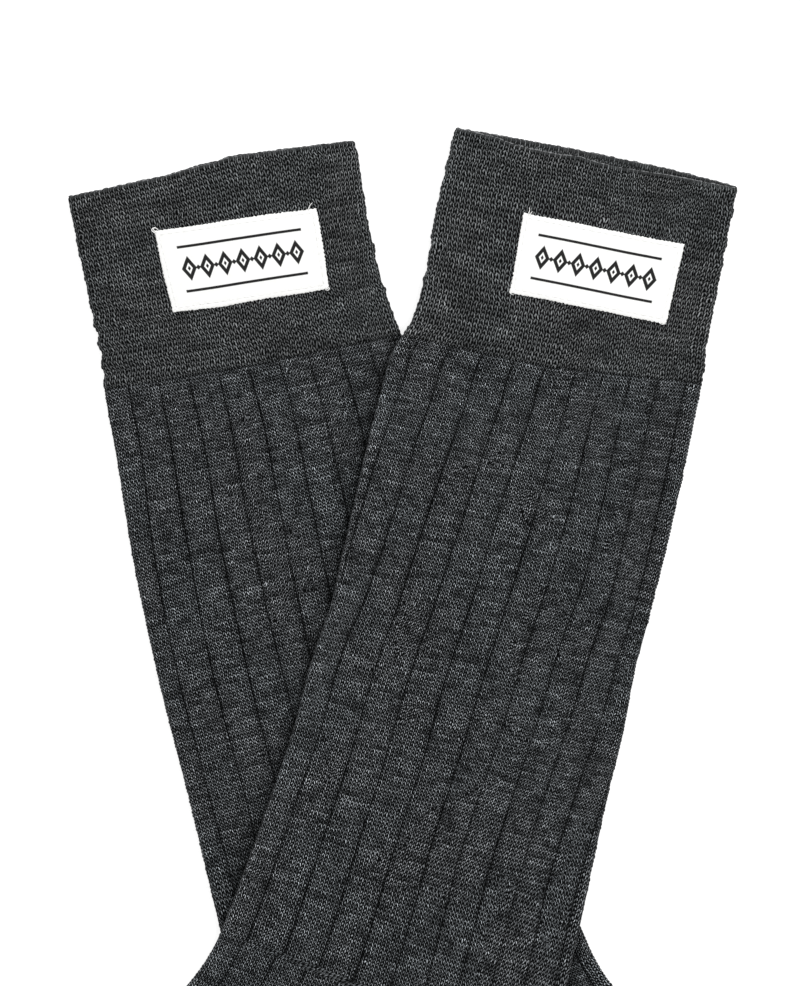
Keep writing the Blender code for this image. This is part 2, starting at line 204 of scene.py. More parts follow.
# The foot: distance from the end of the bend, instep edge, and sole edge
FOOT_ROWS = (
    (0.0, 0.0, 100.0),
    (14.0, 0.0, 95.0),
    (34.0, 0.0, 91.5),
    (56.0, 0.0, 90.0),
    (78.0, 0.2, 90.0),
    (98.0, 1.0, 90.0),
    (114.0, 3.2, 88.5),
    (127.0, 7.2, 85.5),
    (137.0, 13.0, 80.5),
    (143.5, 19.5, 74.5),
    (147.5, 27.0, 67.5),
    (149.5, 35.5, 59.0),
)

# The valleys between ribs: their share of the way from the back edge to the front edge, under the join, in
# the upper leg, in the lower leg and at the ankle
RIB_STATIONS = (75.0, 130.0, 160.0, 220.0)
LEFT_RIBS = (
    (0.080, 0.063, 0.061, 0.066),
    (0.181, 0.170, 0.168, 0.167),
    (0.282, 0.275, 0.272, 0.269),
    (0.378, 0.374, 0.375, 0.370),
    (0.481, 0.474, 0.473, 0.470),
    (0.584, 0.577, 0.574, 0.570),
    (0.684, 0.680, 0.675, 0.670),
    (0.783, 0.779, 0.775, 0.768),
    (0.882, 0.878, 0.873, 0.864),
    (0.970, 0.966, 0.962, 0.952),
)

# The long soft folds of the upper face: run from the rim at the start and end of each, share across at its
# start and end, half width, and height, which is above zero for a ridge and below zero for a trough
LEFT_FOLDS = (
    (64.0, 120.0, 0.90, 0.82, 14.0, -0.35),
    (20.0, 58.0, 0.10, 0.04, 10.0, 0.35),
    (150.0, 235.0, 0.12, 0.22, 12.0, 0.35),
    (86.0, 150.0, 0.30, 0.36, 15.0, 0.22),
    (6.0, 46.0, 0.86, 0.80, 9.0, -0.20),
    (262.0, 318.0, 0.72, 0.84, 12.0, 0.30),
    (275.0, 330.0, 0.30, 0.44, 16.0, -0.30),
    (340.0, 420.0, 0.60, 0.52, 16.0, 0.25),
)

# The mouth: share across, and how far its upper rim hangs below its lower one
LEFT_MOUTH = ((0.0, 0.0), (0.5, 0.4), (1.0, 0.0))

# What makes one sock: the side that its foot points to, the place of its rim's middle, the tables above, how
# far its join sags at the back, in the middle and at the front, and how high its mouth stands open
Plan = namedtuple("Plan", "name side rim_x rim_y edges rim ribs folds join_sag mouth gape")
LEFT = Plan(
    name="left",
    side=1,
    rim_x=-58.4,
    rim_y=100.6,
    edges=LEFT_EDGES,
    rim=LEFT_RIM,
    ribs=LEFT_RIBS,
    folds=LEFT_FOLDS,
    join_sag=(-1.4, 1.2, 1.8),
    mouth=LEFT_MOUTH,
    gape=0.3,
)

# One row of stitches across the flat tube: its run from the rim, its two folded edges as (down, across),
# the tube's thickness, how strong its ribs are on the instep's half and on the heel's half, and how far it
# is set in from the outside
Row = namedtuple("Row", "run back front thick ribs heel_ribs inset")


def smooth_step(value):
    """Zero to one along a soft ramp."""
    t = np.clip(value, 0.0, 1.0)
    return t * t * (3.0 - 2.0 * t)


def between(table, at, column):
    """One column of a table at any distance, on a smooth curve through its rows."""
    rows = np.array(table)
    x, y = rows[:, 0], rows[:, column]
    slope = np.gradient(y, x)
    at = np.clip(at, x[0], x[-1])
    i = np.clip(np.searchsorted(x, at, side="right") - 1, 0, len(x) - 2)
    step = x[i + 1] - x[i]
    t = (at - x[i]) / step
    start = (1.0 + 2.0 * t) * (1.0 - t) ** 2 * y[i] + t * (1.0 - t) ** 2 * step * slope[i]
    end = t * t * (3.0 - 2.0 * t) * y[i + 1] + t * t * (t - 1.0) * step * slope[i + 1]
    return start + end


def place(plan, down, across):
    """A point of the flat drawing as x and y in millimetres."""
    x = plan.rim_x + plan.side * (down * math.sin(LEAN) + across * math.cos(LEAN))
    y = plan.rim_y - down * math.cos(LEAN) + across * math.sin(LEAN)
    return np.stack([x - ORIGIN_X, y - ORIGIN_Y], axis=-1)


def row_sag(plan, run, share):
    """How far a row of stitches hangs below a straight one, near the rim and near the join."""
    rim_shares, rim_downs = zip(*plan.rim)
    at_rim = np.interp(share, rim_shares, rim_downs) * (1.0 - smooth_step(run / RIM_WAVE_FADES))
    at_join = np.interp(share, (0.0, 0.5, 1.0), plan.join_sag)
    above = smooth_step(run / JOIN)
    below = 1.0 - smooth_step((run - JOIN) / JOIN_SAG_FADES)
    return at_rim + at_join * (above if run <= JOIN else below)


def leg_row(plan, run, inset=0.0, lifted=0.0):
    """A row across the cuff or the leg. Near the ankle it turns slowly into the first row of the heel."""
    reach = (plan.edges[-1][1] + plan.edges[-1][2]) / math.cos(BEND_START)
    turned = smooth_step((run - ANKLE_START) / (LEG_END - ANKLE_START)) * reach * math.sin(BEND_START)
    back_down = run - lifted + row_sag(plan, run, 0.0)
    front_down = run - lifted + row_sag(plan, run, 1.0)
    back = np.array([back_down + turned, -between(plan.edges, max(back_down, 0.0), 1)])
    front = np.array([front_down, between(plan.edges, max(front_down, 0.0), 2)])
    on_cuff = run < JOIN
    uneven = CUFF_EDGE_UNEVEN if on_cuff else LEG_EDGE_UNEVEN
    for edge, seed in ((back, BACK_EDGE_SEED), (front, FRONT_EDGE_SEED)):
        edge[1] += uneven * noise.noise(Vector((run * EDGE_UNEVEN_RATE, seed, plan.side)))
    thick = CUFF_THICK if on_cuff else LEG_THICK
    ribs = 0.0 if on_cuff else float(smooth_step(run - JOIN))
    return Row(run, back, front, thick, ribs, 1.0, inset)


def heel_row(plan, turn, inset=0.0):
    """A row of the bend from the leg into the foot."""
    start = np.array([LEG_END, plan.edges[-1][2]])
    sine, cosine = math.sin(turn), math.cos(turn)
    from_start = (sine - math.sin(BEND_START), math.cos(BEND_START) - cosine)
    front = start + INSTEP_RADIUS * np.array(from_start)
    first_reach = (plan.edges[-1][1] + plan.edges[-1][2]) / math.cos(BEND_START)
    reaches = ((HEEL_ROWS[0][0], first_reach), *HEEL_ROWS[1:])
    reach = between(reaches, math.degrees(turn), 1)
    run = LEG_END + INSTEP_RADIUS * (turn - BEND_START)
    heel_ribs = 1.0 - smooth_step((turn - BEND_START) / (HEEL_RIBS_END - BEND_START))
    back = front + reach * np.array([sine, -cosine])
    return Row(run, back, front, LEG_THICK, 1.0, float(heel_ribs), inset)


def foot_row(plan, along, inset=0.0, beyond=0.0):
    """A row of the foot, from the bend to the toe."""
    bend = heel_row(plan, BEND_END)
    toeward = np.array([math.cos(BEND_END), math.sin(BEND_END)])
    soleward = np.array([math.sin(BEND_END), -math.cos(BEND_END)])
    edge = bend.front + (along + beyond) * toeward
    front = edge + (between(FOOT_ROWS, along, 1) + beyond * TOE_END_NARROWS) * soleward
    back = edge + (between(FOOT_ROWS, along, 2) - beyond * TOE_END_NARROWS) * soleward
    ribs = 1.0 - smooth_step((along - TOE_RIBS_START) / (TOE_RIBS_END - TOE_RIBS_START))
    return Row(bend.run + along, back, front, LEG_THICK, float(ribs), 0.0, inset)


# Where the rows lie. They are closest where the photograph shows the cloth, and where the tube turns in at
# the rim and closes at the toe.
LIP = CUFF_WALL / 2.0
LIP_TURNS = (0.0, 45.0, 90.0, 135.0)
CUFF_SPACING = 1.25
LEG_SPACING = 1.55
HEEL_SPACING = math.radians(1.5)
FOOT_SPACING = 2.6
JOIN_GROOVE_RUNS = (60.0, 60.6, 61.0, 61.4, 62.0)
HEEL_LINE_TURNS = (-0.9, -0.45, 0.0, 0.45, 0.9)
TOE_SEAM_ROWS = (-1.1, -0.5, 0.0, 0.5, 1.1)
TOE_CAP = LEG_THICK / 2.0 - 0.15
TOE_CAP_TURNS = (30.0, 60.0, 90.0)
HOLLOW_CUFF_RUNS = (1.5, 2.25, 3.0, 3.75, 4.5, 6.0, 8.0, 20.0, 40.0, 58.0)
HOLLOW_LEG_RUNS = (63.0, 80.0, 97.0, 114.0, 131.0, 148.0, 165.0, 182.0, 199.0, 214.0, 229.0, 244.0, 258.0)
HOLLOW_TURNS = (15.0, 21.0, 27.0, 33.0, 39.0, 45.0, 51.0, 57.0, 63.0)
HOLLOW_FOOT = (8.0, 22.0, 36.0, 50.0, 64.0, 78.0, 90.0, 101.0, 112.0, 120.0, 126.0)


def evenly(start, end, spacing):
    """Distances from start up to end, end included, about this far apart."""
    return np.linspace(start, end, max(2, round((end - start) / spacing) + 1))


def outside_rows(plan):
    """The rows of the outside from the rim to the toe."""
    rows = []
    for turn in LIP_TURNS[:0:-1]:
        angle = math.radians(turn)
        inset, up = LIP * (1.0 - math.cos(angle)), LIP * math.sin(angle)
        rows.append(leg_row(plan, LIP, inset, up))
    rows += [leg_row(plan, run) for run in evenly(LIP, JOIN_GROOVE_RUNS[0] - 1.0, CUFF_SPACING)]
    rows += [leg_row(plan, run) for run in JOIN_GROOVE_RUNS]
    rows += [leg_row(plan, run) for run in evenly(JOIN_GROOVE_RUNS[-1] + 1.0, LEG_END, LEG_SPACING)]
    heel_line = HEEL_LINE_TURN + np.radians(HEEL_LINE_TURNS)
    turns = [*evenly(BEND_START, BEND_END, HEEL_SPACING)[1:], *heel_line]
    rows += [heel_row(plan, turn) for turn in sorted(turns)]
    toe_seam = TOE_SEAM_ALONG + np.array(TOE_SEAM_ROWS)
    alongs = [*evenly(0.0, FOOT_LENGTH, FOOT_SPACING)[1:], *toe_seam]
    rows += [foot_row(plan, along) for along in sorted(alongs)]
    for angle in np.radians(TOE_CAP_TURNS):
        inset, beyond = TOE_CAP * (1.0 - math.cos(angle)), TOE_CAP * math.sin(angle)
        rows.append(foot_row(plan, FOOT_LENGTH, inset, beyond))
    return rows


def hollow_rows(plan):
    """The rows of the thin hollow between the two layers, from the rim to a little before the toe."""
    rows = [leg_row(plan, LIP, CUFF_WALL)]
    rows += [leg_row(plan, run, CUFF_WALL) for run in HOLLOW_CUFF_RUNS]
    rows += [leg_row(plan, run, LEG_WALL) for run in HOLLOW_LEG_RUNS]
    rows += [heel_row(plan, math.radians(turn), LEG_WALL) for turn in HOLLOW_TURNS]
    rows += [foot_row(plan, along, LEG_WALL) for along in HOLLOW_FOOT]
    return rows


# How the cross-section runs: the fold's half width, the narrow valleys between ribs, how far the ribs and
# the soft folds keep from the tube's folded edges, the lines of the heel and the toe, how far the painted
# shade of the mouth and the painted light of the front fold reach, the ripples, and the columns of points in
# one rib
FOLD_WIDTH = 2.5
NARROWEST_FOLD = 0.3
VALLEY_WIDTH = 0.24
UNDER_VALLEY = 0.45
VALLEY_WANDER = 0.4
VALLEY_WANDER_RATE = 0.03
VALLEY_WANDER_APART = 5.1
VALLEY_DEPTH = 0.8
VALLEY_DEPTH_UNEVEN = 0.7
VALLEY_DEPTH_LIMITS = (0.5, 1.0)
VALLEY_DEPTH_RATE = 0.022
VALLEY_DEPTH_APART = 7.3
EDGE_CROWN = 0.25
INSTEP_FROM = 0.46
INSTEP_BLEND = 0.08
FOLD_FADE = 3.5
FOLD_END_RATE = 4.0
JOIN_GROOVE = 0.15
JOIN_GROOVE_WIDTH = 0.6
HEEL_LINE = 0.35
TOE_SEAM = 0.55
SEAM_WIDTH = 0.75
HEEL_LINE_TURN = math.radians(38.0)
HEEL_LINE_TIE = 1e-6
HEEL_LINE_RUN = LEG_END + INSTEP_RADIUS * (HEEL_LINE_TURN - BEND_START)
TOE_SEAM_ALONG = 128.0
FOOT_START_RUN = LEG_END + INSTEP_RADIUS * (BEND_END - BEND_START)
TOE_SEAM_RUN = FOOT_START_RUN + TOE_SEAM_ALONG
MOUTH_SHADOW = 0.8
FOLD_SHINE = 3.0
RIPPLE = 0.16
RIPPLE_LENGTH = 26.0
RIPPLE_APART = 3.7
COLUMN_STEPS = (0.0, 0.028, 0.058, 0.1, 0.17, 0.27, 0.38, 0.5, 0.62, 0.73, 0.83, 0.9, 0.942, 0.972)


def fold_heights(plan, run, share, width):
    """The height of the long soft folds along one row."""
    height = np.zeros_like(share)
    for start, end, share_start, share_end, half_width, top in plan.folds:
        t = (run - start) / (end - start)
        centre = share_start + (share_end - share_start) * np.clip(t, 0.0, 1.0)
        lengthways = smooth_step(min(t, 1.0 - t) * FOLD_END_RATE)
        sideways = 1.0 - smooth_step(np.abs(share - centre) * width / half_width)
        height += top * lengthways * sideways
    return height


def valley_places(plan, row, width, quarter):
    """Where the valleys between ribs lie on the way round one row, from the back fold."""
    top = width - 2.0 * FOLD_WIDTH + 2.0 * quarter
    foot_scale = RIB_SPACING_WIDTH / max(width, NARROWEST_SPACING)
    places = []
    for line in plan.ribs:
        share = float(np.interp(row.run, RIB_STATIONS, line))
        if row.run > LEG_END:
            middle = 1.0 - 0.5 * foot_scale
            share = 1.0 - (1.0 - share) * foot_scale if share > 0.5 else share * 2.0 * middle
        distance = abs(share) * width if share < 0.5 else abs(1.0 - share) * width
        if distance < FOLD_WIDTH:
            travel = quarter * math.acos(1.0 - distance / FOLD_WIDTH) / (math.pi / 2.0)
        else:
            travel = quarter + distance - FOLD_WIDTH
        spot = (len(places) * VALLEY_WANDER_APART, row.run * VALLEY_WANDER_RATE, plan.side)
        wander = VALLEY_WANDER * noise.noise(Vector(spot))
        if share < 0.5:
            places.append(math.copysign(travel, share) + wander)
        else:
            places.append(top - math.copysign(travel, 1.0 - share) + wander)
    return places, top


def fold_quarter(fold, half):
    """How far it is round a folded edge, from its outermost point to the flat of the tube."""
    return math.pi / 2.0 * math.hypot(fold, half) / math.sqrt(2.0)


def bell(distance, width):
    """One at no distance, falling softly to nothing."""
    return np.exp(-0.5 * (distance / width) ** 2)


def ring(plan, row, lift, ribs_at):
    """One row, once round from the back fold: over the upper face, then under.

    Gives its points, the strength of its ribs there, and how far each point is from the front fold.
    """
    full_width = float(np.linalg.norm(row.front - row.back))
    full_half = row.thick / 2.0
    quarter = fold_quarter(FOLD_WIDTH, full_half)
    valleys, full_top = valley_places(plan, row, full_width, quarter)
    known = list(range(len(valleys))) + [RIBS_ROUND]
    travel = np.interp(ribs_at, known, valleys + [valleys[0] + 2.0 * full_top])
    pitch = np.gradient(travel, ribs_at)

    width = full_width - 2.0 * row.inset
    half = full_half - row.inset
    fold = max(FOLD_WIDTH - row.inset, NARROWEST_FOLD)
    quarter = fold_quarter(fold, half)
    top = width - 2.0 * fold + 2.0 * quarter
    travel = np.mod(travel * top / full_top, 2.0 * top)
    under = travel > top
    travel = np.where(under, 2.0 * top - travel, travel)
    from_end = np.minimum(travel, top - travel)
    angle = np.clip(from_end / quarter, 0.0, 1.0) * math.pi / 2.0
    reach = np.where(from_end < quarter, fold * (1.0 - np.cos(angle)), fold + from_end - quarter)
    distance = row.inset + np.where(travel < top / 2.0, reach, width - reach)
    height = row.inset + half + np.where(under, -half, half) * np.sin(angle)

    share = distance / full_width
    flat = row.back + np.outer(share, row.front - row.back)
    on_instep = smooth_step((share - INSTEP_FROM) / INSTEP_BLEND)
    strength = row.ribs * (row.heel_ribs + (1.0 - row.heel_ribs) * on_instep)
    off_valley = np.abs(ribs_at - np.round(ribs_at)) * pitch
    valley = bell(off_valley, VALLEY_WIDTH)
    inner = smooth_step((np.minimum(distance, full_width - distance) - FOLD_WIDTH) / FOLD_FADE)
    if row.inset < LIP:
        spots = [(*(point / RIPPLE_LENGTH), plan.side * RIPPLE_APART) for point in flat]
        soft = np.array([noise.noise(Vector(spot)) for spot in spots])
        swell = fold_heights(plan, row.run, share, full_width) + RIPPLE * soft
        at_join = bell(row.run - JOIN, JOIN_GROOVE_WIDTH)
        at_heel = bell(row.run - HEEL_LINE_RUN, SEAM_WIDTH) * (1.0 - on_instep)
        at_toe = bell(row.run - TOE_SEAM_RUN, SEAM_WIDTH)
        ribs = VALLEY_DEPTH_APART * np.arange(RIBS_ROUND + 1)
        uneven = [noise.noise(Vector((rib, row.run * VALLEY_DEPTH_RATE, plan.side))) for rib in ribs]
        depths = np.clip(VALLEY_DEPTH + VALLEY_DEPTH_UNEVEN * np.array(uneven), *VALLEY_DEPTH_LIMITS)
        depth = depths[np.round(ribs_at).astype(int)]
        crown = RIB_HEIGHT * strength * (EDGE_CROWN + (1.0 - EDGE_CROWN) * inner) * (1.0 - valley * depth)
        seams = TOE_SEAM * at_toe - JOIN_GROOVE * at_join - HEEL_LINE * at_heel
        height += np.where(under, 0.0, crown + inner * (swell + seams))
        height += np.where(under, UNDER_VALLEY * strength * valley * inner, 0.0)

    sag = row_sag(plan, row.run, share)
    straight = row_sag(plan, row.run, 0.0) * (1.0 - share) + row_sag(plan, row.run, 1.0) * share
    open_share, open_drop = zip(*plan.mouth)
    near_rim = max(0.0, 1.0 - row.run / MOUTH_LENGTH) * ~under
    down = flat[:, 0] + sag - straight + near_rim * np.interp(share, open_share, open_drop)
    plane = place(plan, down, flat[:, 1])
    z = height + plan.gape * near_rim * np.sin(math.pi * np.clip(share, 0.0, 1.0)) + lift(plane)
    return np.column_stack([plane, z]), strength, (1.0 - share) * full_width


def add_piece(name, points, faces, material):
    """A smooth mesh object from points in millimetres."""
    mesh = bpy.data.meshes.new(name)
    mesh.from_pydata((np.asarray(points) * MM).tolist(), [], faces)
    mesh.shade_smooth()
    mesh.materials.append(material)
    piece = bpy.data.objects.new(name, mesh)
    bpy.context.scene.collection.objects.link(piece)
    return piece


def stitch_runs(row, reach):
    """How far down the knit each point of a row is, for the courses that end there and for those after it.

    Round the bend the courses fan out to the heel, and meet along its slanting line.
    """
    turn = BEND_START + (row.run - LEG_END) / INSTEP_RADIUS
    if turn <= BEND_START or turn >= BEND_END:
        return np.full_like(reach, row.run), np.full_like(reach, row.run)
    from_leg = LEG_END + (INSTEP_RADIUS + reach) * (turn - BEND_START)
    from_foot = FOOT_START_RUN - (INSTEP_RADIUS + reach) * (BEND_END - turn)
    before = from_leg if turn <= HEEL_LINE_TURN + HEEL_LINE_TIE else from_foot
    after = from_leg if turn < HEEL_LINE_TURN - HEEL_LINE_TIE else from_foot
    return before, after


def paint_points(piece, name, values):
    """Give each point of a mesh a number that its material reads by this name."""
    attribute = piece.data.attributes.new(name, "FLOAT", "POINT")
    attribute.data.foreach_set("value", np.asarray(values, dtype=np.float32))


def add_sock(plan, lift, material):
    """One sock as a closed shell with a thin hollow, and the place of each stitch for its knit."""
    steps = np.array([rib + step for rib in range(RIBS_ROUND) for step in COLUMN_STEPS])
    size = len(steps)
    half_round = RIBS_ROUND / 2.0
    drop = np.interp(np.abs(half_round - steps) / half_round, *zip(*plan.mouth))
    hollow = hollow_rows(plan)[::-1]
    rings, starts, ends = [], [], []
    painted = {"rib_strength": [], "painted_mouth_shade": [], "inside": [], "fold": []}
    for i, row in enumerate(hollow + outside_rows(plan)):
        points, strength, reach = ring(plan, row, lift, steps)
        in_hollow = float(i < len(hollow))
        # Painted shade inside the mouth, growing below the upper rim
        in_the_dark = smooth_step((row.run - LIP - drop + MOUTH_SHADOW) / MOUTH_SHADOW)
        rings.append(points)
        painted["rib_strength"].append(strength)
        painted["painted_mouth_shade"].append(in_the_dark * in_hollow)
        painted["inside"].append(np.full(size, in_hollow))
        # Painted light close to the front fold
        painted["fold"].append(np.exp(-((reach / FOLD_SHINE) ** 2)))
        before, after = stitch_runs(row, reach)
        ends.append(before)
        starts.append(after)

    faces, places = [], []
    around = np.append(steps, RIBS_ROUND)
    for i in range(len(rings) - 1):
        for j in range(size):
            k = (j + 1) % size
            faces.append((i * size + j, (i + 1) * size + j, (i + 1) * size + k, i * size + k))
            corners = [(around[j], starts[i][j]), (around[j], ends[i + 1][j])]
            corners += [(around[j + 1], ends[i + 1][k]), (around[j + 1], starts[i][k])]
            places.append(corners)
    last = (len(rings) - 1) * size
    faces.append(tuple(range(size)))
    places.append([(step, starts[0][0]) for step in steps])
    faces.append(tuple(range(last + size - 1, last - 1, -1)))
    places.append([(step, starts[-1][0]) for step in steps[::-1]])
    # A sock that is turned over is drawn mirrored, so its faces are turned to look outwards.
    if plan.side < 0:
        faces = [face[::-1] for face in faces]
        places = [corners[::-1] for corners in places]

    piece = add_piece(plan.name + "_knit", np.concatenate(rings), faces, material)
    stitches = piece.data.uv_layers.new(name="stitches")
    corner_places = [spot for corners in places for spot in corners]
    stitches.data.foreach_set("uv", np.array(corner_places, dtype=np.float32).ravel())
    for name, rows in painted.items():
        paint_points(piece, name, np.concatenate(rows))
    return piece


class Wire:
    """A socket of a material's nodes. Arithmetic on it adds Math nodes."""

    def __init__(self, tree, socket):
        self.tree = tree
        self.socket = socket

    def node(self, kind, settings=None, inputs=None, output=0):
        """Add one node, its settings first and then the values or links of its sockets."""
        new = self.tree.nodes.new(kind)
        for name, value in (settings or {}).items():
            setattr(new, name, value)
        for key, value in (inputs or {}).items():
            socket = new.inputs[key]
            if isinstance(value, Wire):
                self.tree.links.new(value.socket, socket)
            else:
                socket.default_value = value
        return Wire(self.tree, new.outputs[output])

    def math(self, operation, *values):
        """One Math node on these values or links."""
        return self.node("ShaderNodeMath", {"operation": operation}, dict(enumerate(values)))

    def __add__(self, other):
        return self.math("ADD", self, other)

    def __radd__(self, other):
        return self.math("ADD", other, self)

    def __sub__(self, other):
        return self.math("SUBTRACT", self, other)

    def __rsub__(self, other):
        return self.math("SUBTRACT", other, self)

    def __mul__(self, other):
        return self.math("MULTIPLY", self, other)

    def __rmul__(self, other):
        return self.math("MULTIPLY", other, self)

    def __truediv__(self, other):
        return self.math("DIVIDE", self, other)

    def __pow__(self, other):
        return self.math("POWER", self, other)

    def fract(self):
        return self.math("FRACT", self)

    def floor(self):
        return self.math("FLOOR", self)

    def size(self):
        return self.math("ABSOLUTE", self)

    def above(self, limit):
        return self.math("GREATER_THAN", self, limit)

    def below(self, limit):
        return self.math("LESS_THAN", self, limit)

    def at_least(self, other):
        return self.math("MAXIMUM", self, other)

    def at_most(self, other):
        return self.math("MINIMUM", self, other)

    def nearest(self):
        return self.math("ROUND", self)

    def cosine(self):
        return self.math("COSINE", self)

    def from_centre(self):
        """Zero in the middle of each whole step and one at its ends."""
        return (self.fract() * 2.0 - 1.0).size()

    def ramp(self, low, high, to_low=0.0, to_high=1.0):
        """Low to high becomes to_low to to_high along a soft ramp."""
        settings = {"interpolation_type": "SMOOTHSTEP"}
        inputs = {"Value": self, "From Min": low, "From Max": high, "To Min": to_low, "To Max": to_high}
        return self.node("ShaderNodeMapRange", settings, inputs)

    def fades(self, low, high):
        """One up to low, falling softly to zero at high."""
        return self.ramp(low, high, 1.0, 0.0)

    def mix(self, low, high):
        """From low to high by this share, for colours."""
        return self.node("ShaderNodeMix", {"data_type": "RGBA"}, {0: self, 6: low, 7: high}, output=2)

    def tinted(self, share, tint):
        """This colour times a tint, by a share."""
        settings = {"data_type": "RGBA", "blend_type": "MULTIPLY"}
        return self.node("ShaderNodeMix", settings, {0: share, 6: self, 7: tint}, output=2)

    def blend(self, low, high):
        """From low to high by this share, for numbers."""
        return self.node("ShaderNodeMix", {"data_type": "FLOAT"}, {0: self, 2: low, 3: high})

    def point(self, x, y, z):
        """A point, for the nodes that take one."""
        return self.node("ShaderNodeCombineXYZ", inputs={0: x, 1: y, 2: z})

    def part(self, index):
        """One of a point's three numbers."""
        return self.node("ShaderNodeSeparateXYZ", inputs={0: self}, output=index)

    def cloudy(self, scale, detail, output=0):
        """Soft noise at this point: a number from output 0, or three from output 1."""
        inputs = {"Vector": self, "Scale": scale, "Detail": detail}
        return self.node("ShaderNodeTexNoise", inputs=inputs, output=output)

    def painted(self, name):
        """A number that the mesh's points carry by this name."""
        return self.node("ShaderNodeAttribute", {"attribute_name": name}, output=2)

    def layer(self, name):
        """The two numbers that the mesh's corners carry by this name."""
        spot = self.node("ShaderNodeUVMap", {"uv_map": name})
        return spot.part(0), spot.part(1)

    def bump(self, distance):
        """The surface's direction when this is its height."""
        return self.node("ShaderNodeBump", inputs={"Strength": 1.0, "Distance": distance, "Height": self})

    def feed(self, socket):
        """Link this to a socket of a shader."""
        self.tree.links.new(self.socket, socket)


def new_material(name):
    """An empty material: its Principled shader and a Wire to start from."""
    material = bpy.data.materials.new(name)
    material.use_nodes = True
    tree = material.node_tree
    shader = tree.nodes["Principled BSDF"]
    return material, shader, Wire(tree, shader.outputs[0])


# The yarn and its stitches: wales to each rib in the cuff and in the leg, the height of one course in
# millimetres, how far the stitches wander, how their two legs tilt and jog, and how round the strands are,
# which shapes both their bump and the painted shade at their ends and sides and in the gaps between them.
# One leg is steeper and lighter, and which of them it is changes slowly across the sock. The loops that turn
# over the rim are tall and even.
CUFF_WALES = 6.0
LEG_WALES = 9.0
CUFF_COURSE = 1.5
LEG_COURSE = 1.11
RIM_LOOPS = 1.1
WANDER = 1.1
WANDER_SCALES = (0.4, 0.43)
WIDER_LEG = 0.53
STEEP = 1.1
SHALLOW = 0.4
TILT_MIDDLE = 0.4
TILT_ROUND = 0.3
TILT_SLOW = (1.2, 2.4)
TILT_RAMPS = ((0.3, 0.7), (0.46, 0.54))
JOG = 4.0
JOG_STEP = 0.37
END_ROUND = 1.5
SIDE_ROUND = 2.5
STRAND_ROUND = 1.5
GAP_ROUND = 0.65
GAP_WIDTH = 0.38
GAP_DENT = 0.6
STITCH_DEPTH = 0.0002

# How fast each unevenness of the wool changes: its rate across the knit and its rate down it
SLOW_RATES = (0.45, 0.035)
STREAK_RATES = (0.18, 3.7)
PATCH_RATES = (0.08, 0.3)
STRAND_RATES = (2.7, 1.2)
VALLEY_RATES = (7.3, 0.03)

# The greys of the stitches, in pairs for the cuff and for the leg: the least grey and how far chance lifts
# it, the darkest and lightest streak, how strong patches and whole rows are, and how the painted shade of
# the strands' form and their tone make the light. The gaps between the strands are painted shade, nearly
# black.
LEAST_GREYS = (0.62, 0.5)
CHANCE_LIFTS = (0.51, 0.7)
STREAK_RAMP = (0.3, 0.72)
STREAK_GREYS = ((0.79, 1.33), (0.69, 1.41))
PATCH_STRENGTHS = (1.3, 0.8)
ROW_STRENGTHS = (0.5, 1.0)
BRIGHT_ROW = (0.6, 0.68, 0.0, 0.3)
DARK_ROW = (0.32, 0.4, 0.3, 0.0)
STRAND_RAMP = (0.3, 0.7, 0.7, 1.3)
SHADED = 0.72
LEAST_LIGHT = 0.03
FORM_POWERS = (0.44, 1.2)
TONE_POWERS = (0.9, 1.1)
LEVELS = (0.507, 1.44)
LIGHTEST_EASED = 0.2

# How the painted shade of the valleys between ribs, of their shoulders and of the join shows, how the rim
# and the lining show, how much painted light the front folds get, and how dark the painted shade is in the
# mouth and on the cloth close to the other sock's edge
VALLEY_SHOWS = (0.35, 0.6, 0.65, 1.0)
VALLEY_UNDER_JOIN = (JOIN + 6.0, JOIN + 35.0, 0.85, 0.0)
VALLEY_EDGE = (0.010, 0.040)
VALLEY_PAINTED_SHADE = 0.95
SHOULDER_SHOWS = (0.35, 0.65, 0.3, 1.0)
SHOULDER_EDGE = (0.03, 0.25)
SHOULDER_PAINTED_SHADE = 0.3
JOIN_PAINTED_SHADE = (0.15, 0.75, 0.3, 0.0)
RIM_EDGE = (0.6, 1.1)
RIM_GREYS = (0.06, 0.32)
LINING_GREYS = (0.02, 0.85)
FOLD_PAINTED_LIGHT = 0.35
MOUTH_PAINTED_SHADE = 0.75
CONTACT_PAINTED_SHADE = 0.5

# The wool's colours, from the painted shade in the gaps between the strands to the lightest fibres, its slow
# change of tint, and its surface
GREY_RANGE = 1.5
WOOL_IN_DEEP_SHADE = (0.0012, 0.0013, 0.0014, 1.0)
LIGHT_WOOL = (0.785, 0.81, 0.83)
TINT_RAMP = (0.35, 0.65)
COOL_TINT = (0.975, 1.012, 1.01, 1.0)
WARM_TINT = (1.0, 1.003, 0.998, 1.0)
LEG_TINT = (0.985, 1.0, 1.03, 1.0)
WOOL_SURFACE = {"Roughness": 0.92, "Specular IOR Level": 0.03, "Sheen Weight": 0.02, "Sheen Roughness": 0.5}


